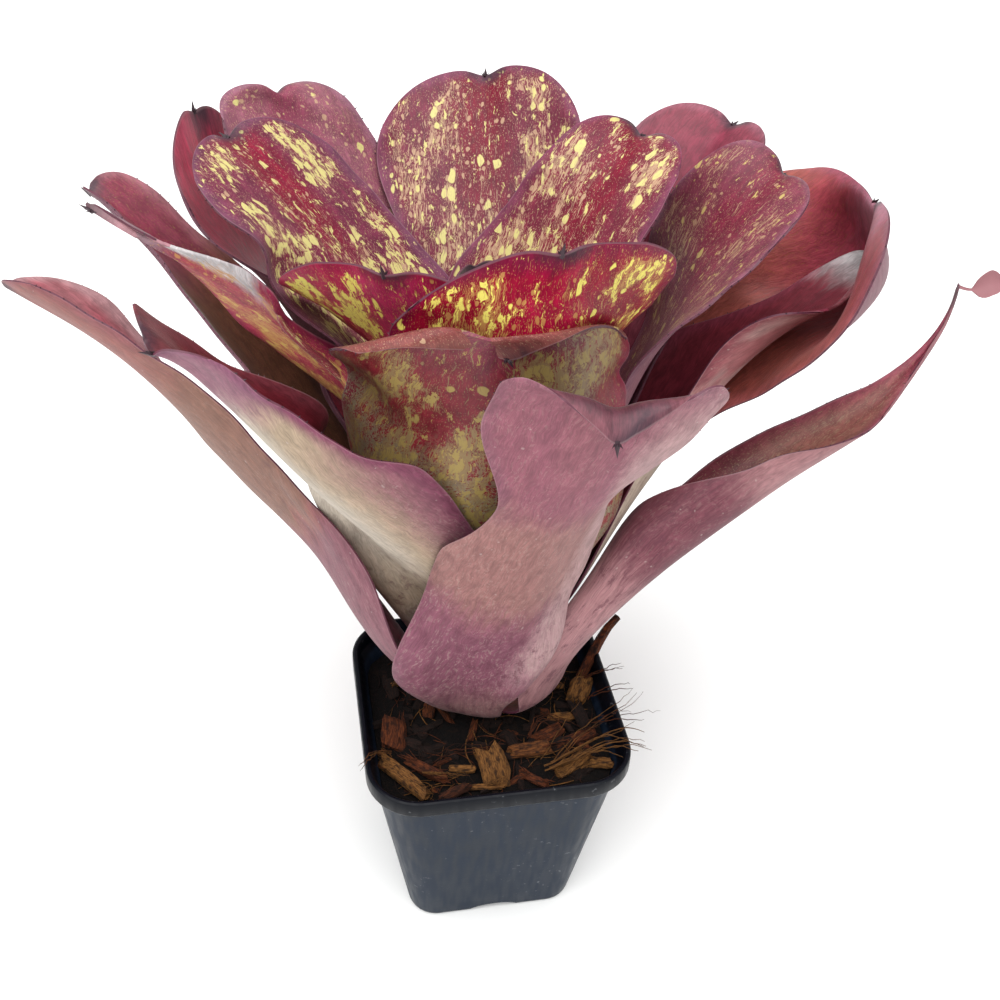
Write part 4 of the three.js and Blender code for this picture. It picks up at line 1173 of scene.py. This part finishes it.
def lay_strands(strands, rng):
    for count, scatter, radius, tone, line in STRANDS:
        for _ in range(count):
            shift = [rng.gauss(0, scatter), rng.gauss(0, scatter), abs(rng.gauss(0, scatter / 3))]
            shares = np.linspace(0, len(line) - 1, STRAND_POINTS)
            curve = on_line(np.array(line), range(len(line)), shares)
            curve = curve + np.array(shift) * (0.3 + 0.7 * smooth(0, len(line) - 1, shares))[:, None]
            curve = curve + [[rng.gauss(0, 0.15 * min(1, scatter)) for _ in range(3)] for _ in shares]
            thick, shown = radius * rng.uniform(0.7, 1.3), min(0.95, tone * rng.uniform(0.85, 1.1))
            strands.fibre(curve, thick, shown, 6, 0.2 if count == 1 else 0.75)


def scatter_fibres(strands, rng):
    placed = 0
    while placed < LOOSE_FIBRES:
        x, y = spot(rng, 2.5)
        a, rise = rng.uniform(0, 2 * math.pi), rng.uniform(-0.1, 0.35)
        p = np.array([x, y, soil_height(x, y) + 0.4])
        step = rng.uniform(0.8, 1.9)
        curve = rng.uniform(-0.25, 0.25)
        line = []
        for _ in range(LOOSE_POINTS):
            line.append(p)
            a += curve + rng.uniform(-0.15, 0.15)
            p = p + step * np.array([math.cos(a), math.sin(a), rise])
            rise -= 0.06
            if not in_pot(p[0], p[1], 1.2):
                break
        if len(line) > 3:
            strands.fibre(line, rng.uniform(0.08, 0.2), rng.choice([0.1, 0.2, 0.35, 0.5, 0.85]))
            placed += 1


def make_bark():
    material = bark_material()
    rng = random.Random(11)
    chips, strands = Bark(), Bark()
    lay_chips(chips, rng)
    chips.make("bark_chips", material)
    fray(strands, rng)
    lay_strands(strands, rng)
    scatter_fibres(strands, rng)
    strands.make("coir_fibres", material, smooth_faces=True)


# ---- Stem ----


def stem_material():
    shade = Shade("stem_look")
    at = shade.place()
    rings = shade.noise(shade.scaled(at, (60, 60, 900)), detail=3)
    tone = shade.blend("5c5236", "8c8058", shade.step(rings, 0.35, 0.65))
    return shade.finish(Base_Color=tone, Roughness=0.75, Normal=shade.bump(rings, 0.3 * MM))


def dress_stem():
    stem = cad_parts["stem"]
    stem.data.materials.clear()
    stem.data.materials.append(stem_material())


# ---- Stage ----
LENS = 43.2
CAMERA_PLACE = (1.2, -233.7, 301.4)  # in the rosette's directions, before its turn
CAMERA_PITCH = 36.3  # degrees below level
CAMERA_ROLL = 2.7
SENSOR = 36
NEAR, FAR = 0.01, 20  # metres
WORLD_STRENGTH = 0.58
FLOOR_HALF = 4000
FLOOR_BELOW = 0.02
AIM_HEIGHT = 0.12  # metres, where the lights point
# Each light's name, kind, place, power and spread: a sun's in degrees, or a softbox's side in mm.
LIGHTS = (
    ("overhead", "SUN", (-60, -260, 900), 3.7, 70),
    ("softbox", "AREA", (-500, -700, 700), 1.0, 700),
)


def make_camera():
    data = bpy.data.cameras.new("camera")
    data.lens, data.sensor_width = LENS, SENSOR
    data.clip_start, data.clip_end = NEAR, FAR
    camera = bpy.data.objects.new("camera", data)
    bpy.context.scene.collection.objects.link(camera)
    pitch, roll = math.radians(CAMERA_PITCH), math.radians(CAMERA_ROLL)
    ahead = np.array([0, math.cos(pitch), -math.sin(pitch)])
    up = np.array([0, math.sin(pitch), math.cos(pitch)])
    right = np.array([1.0, 0, 0])
    x = right * math.cos(roll) + up * math.sin(roll)
    y = -right * math.sin(roll) + up * math.cos(roll)
    axes = turned([x, y, -ahead], PLANT_TURN)
    place = turned([CAMERA_PLACE], PLANT_TURN)[0] * MM
    matrix = Matrix([[*axes[:, row], place[row]] for row in range(3)] + [[0, 0, 0, 1]])
    camera.matrix_world = matrix
    bpy.context.scene.camera = camera


def make_stage():
    shade = Shade("floor")
    at = shade.place()
    tone = shade.blend("f6f6f5", "f4f5f4", shade.noise(at, scale=3))
    floor_material = shade.finish(Base_Color=tone, Roughness=0.8, Specular_IOR_Level=0.2)
    signs = ((-1, -1), (1, -1), (1, 1), (-1, 1))
    corners = [(a * FLOOR_HALF, b * FLOOR_HALF, -FLOOR_BELOW) for a, b in signs]
    floor = new_mesh("floor", corners, [(0, 1, 2, 3)], [floor_material], smooth_faces=False)
    world = bpy.data.worlds.new("soft_white")
    bpy.context.scene.world = world
    world.use_nodes = True
    background = world.node_tree.nodes["Background"].inputs
    background["Color"].default_value = (1, 1, 1, 1)
    background["Strength"].default_value = WORLD_STRENGTH
    for name, kind, place, power, spread in LIGHTS:
        data = bpy.data.lights.new(name, kind)
        data.energy = power
        if kind == "SUN":
            data.angle = math.radians(spread)
        else:
            data.size = spread * MM
        light = bpy.data.objects.new(name, data)
        light.location = Vector(turned([place], PLANT_TURN)[0] * MM)
        aim = Vector((0, 0, AIM_HEIGHT)) - light.location
        light.rotation_euler = aim.to_track_quat("-Z", "Y").to_euler()
        bpy.context.scene.collection.objects.link(light)


make_camera()
make_stage()
make_leaves()
make_pot()
make_soil()
make_bark()
dress_stem()
bpy.context.scene.view_settings.view_transform = "Standard"
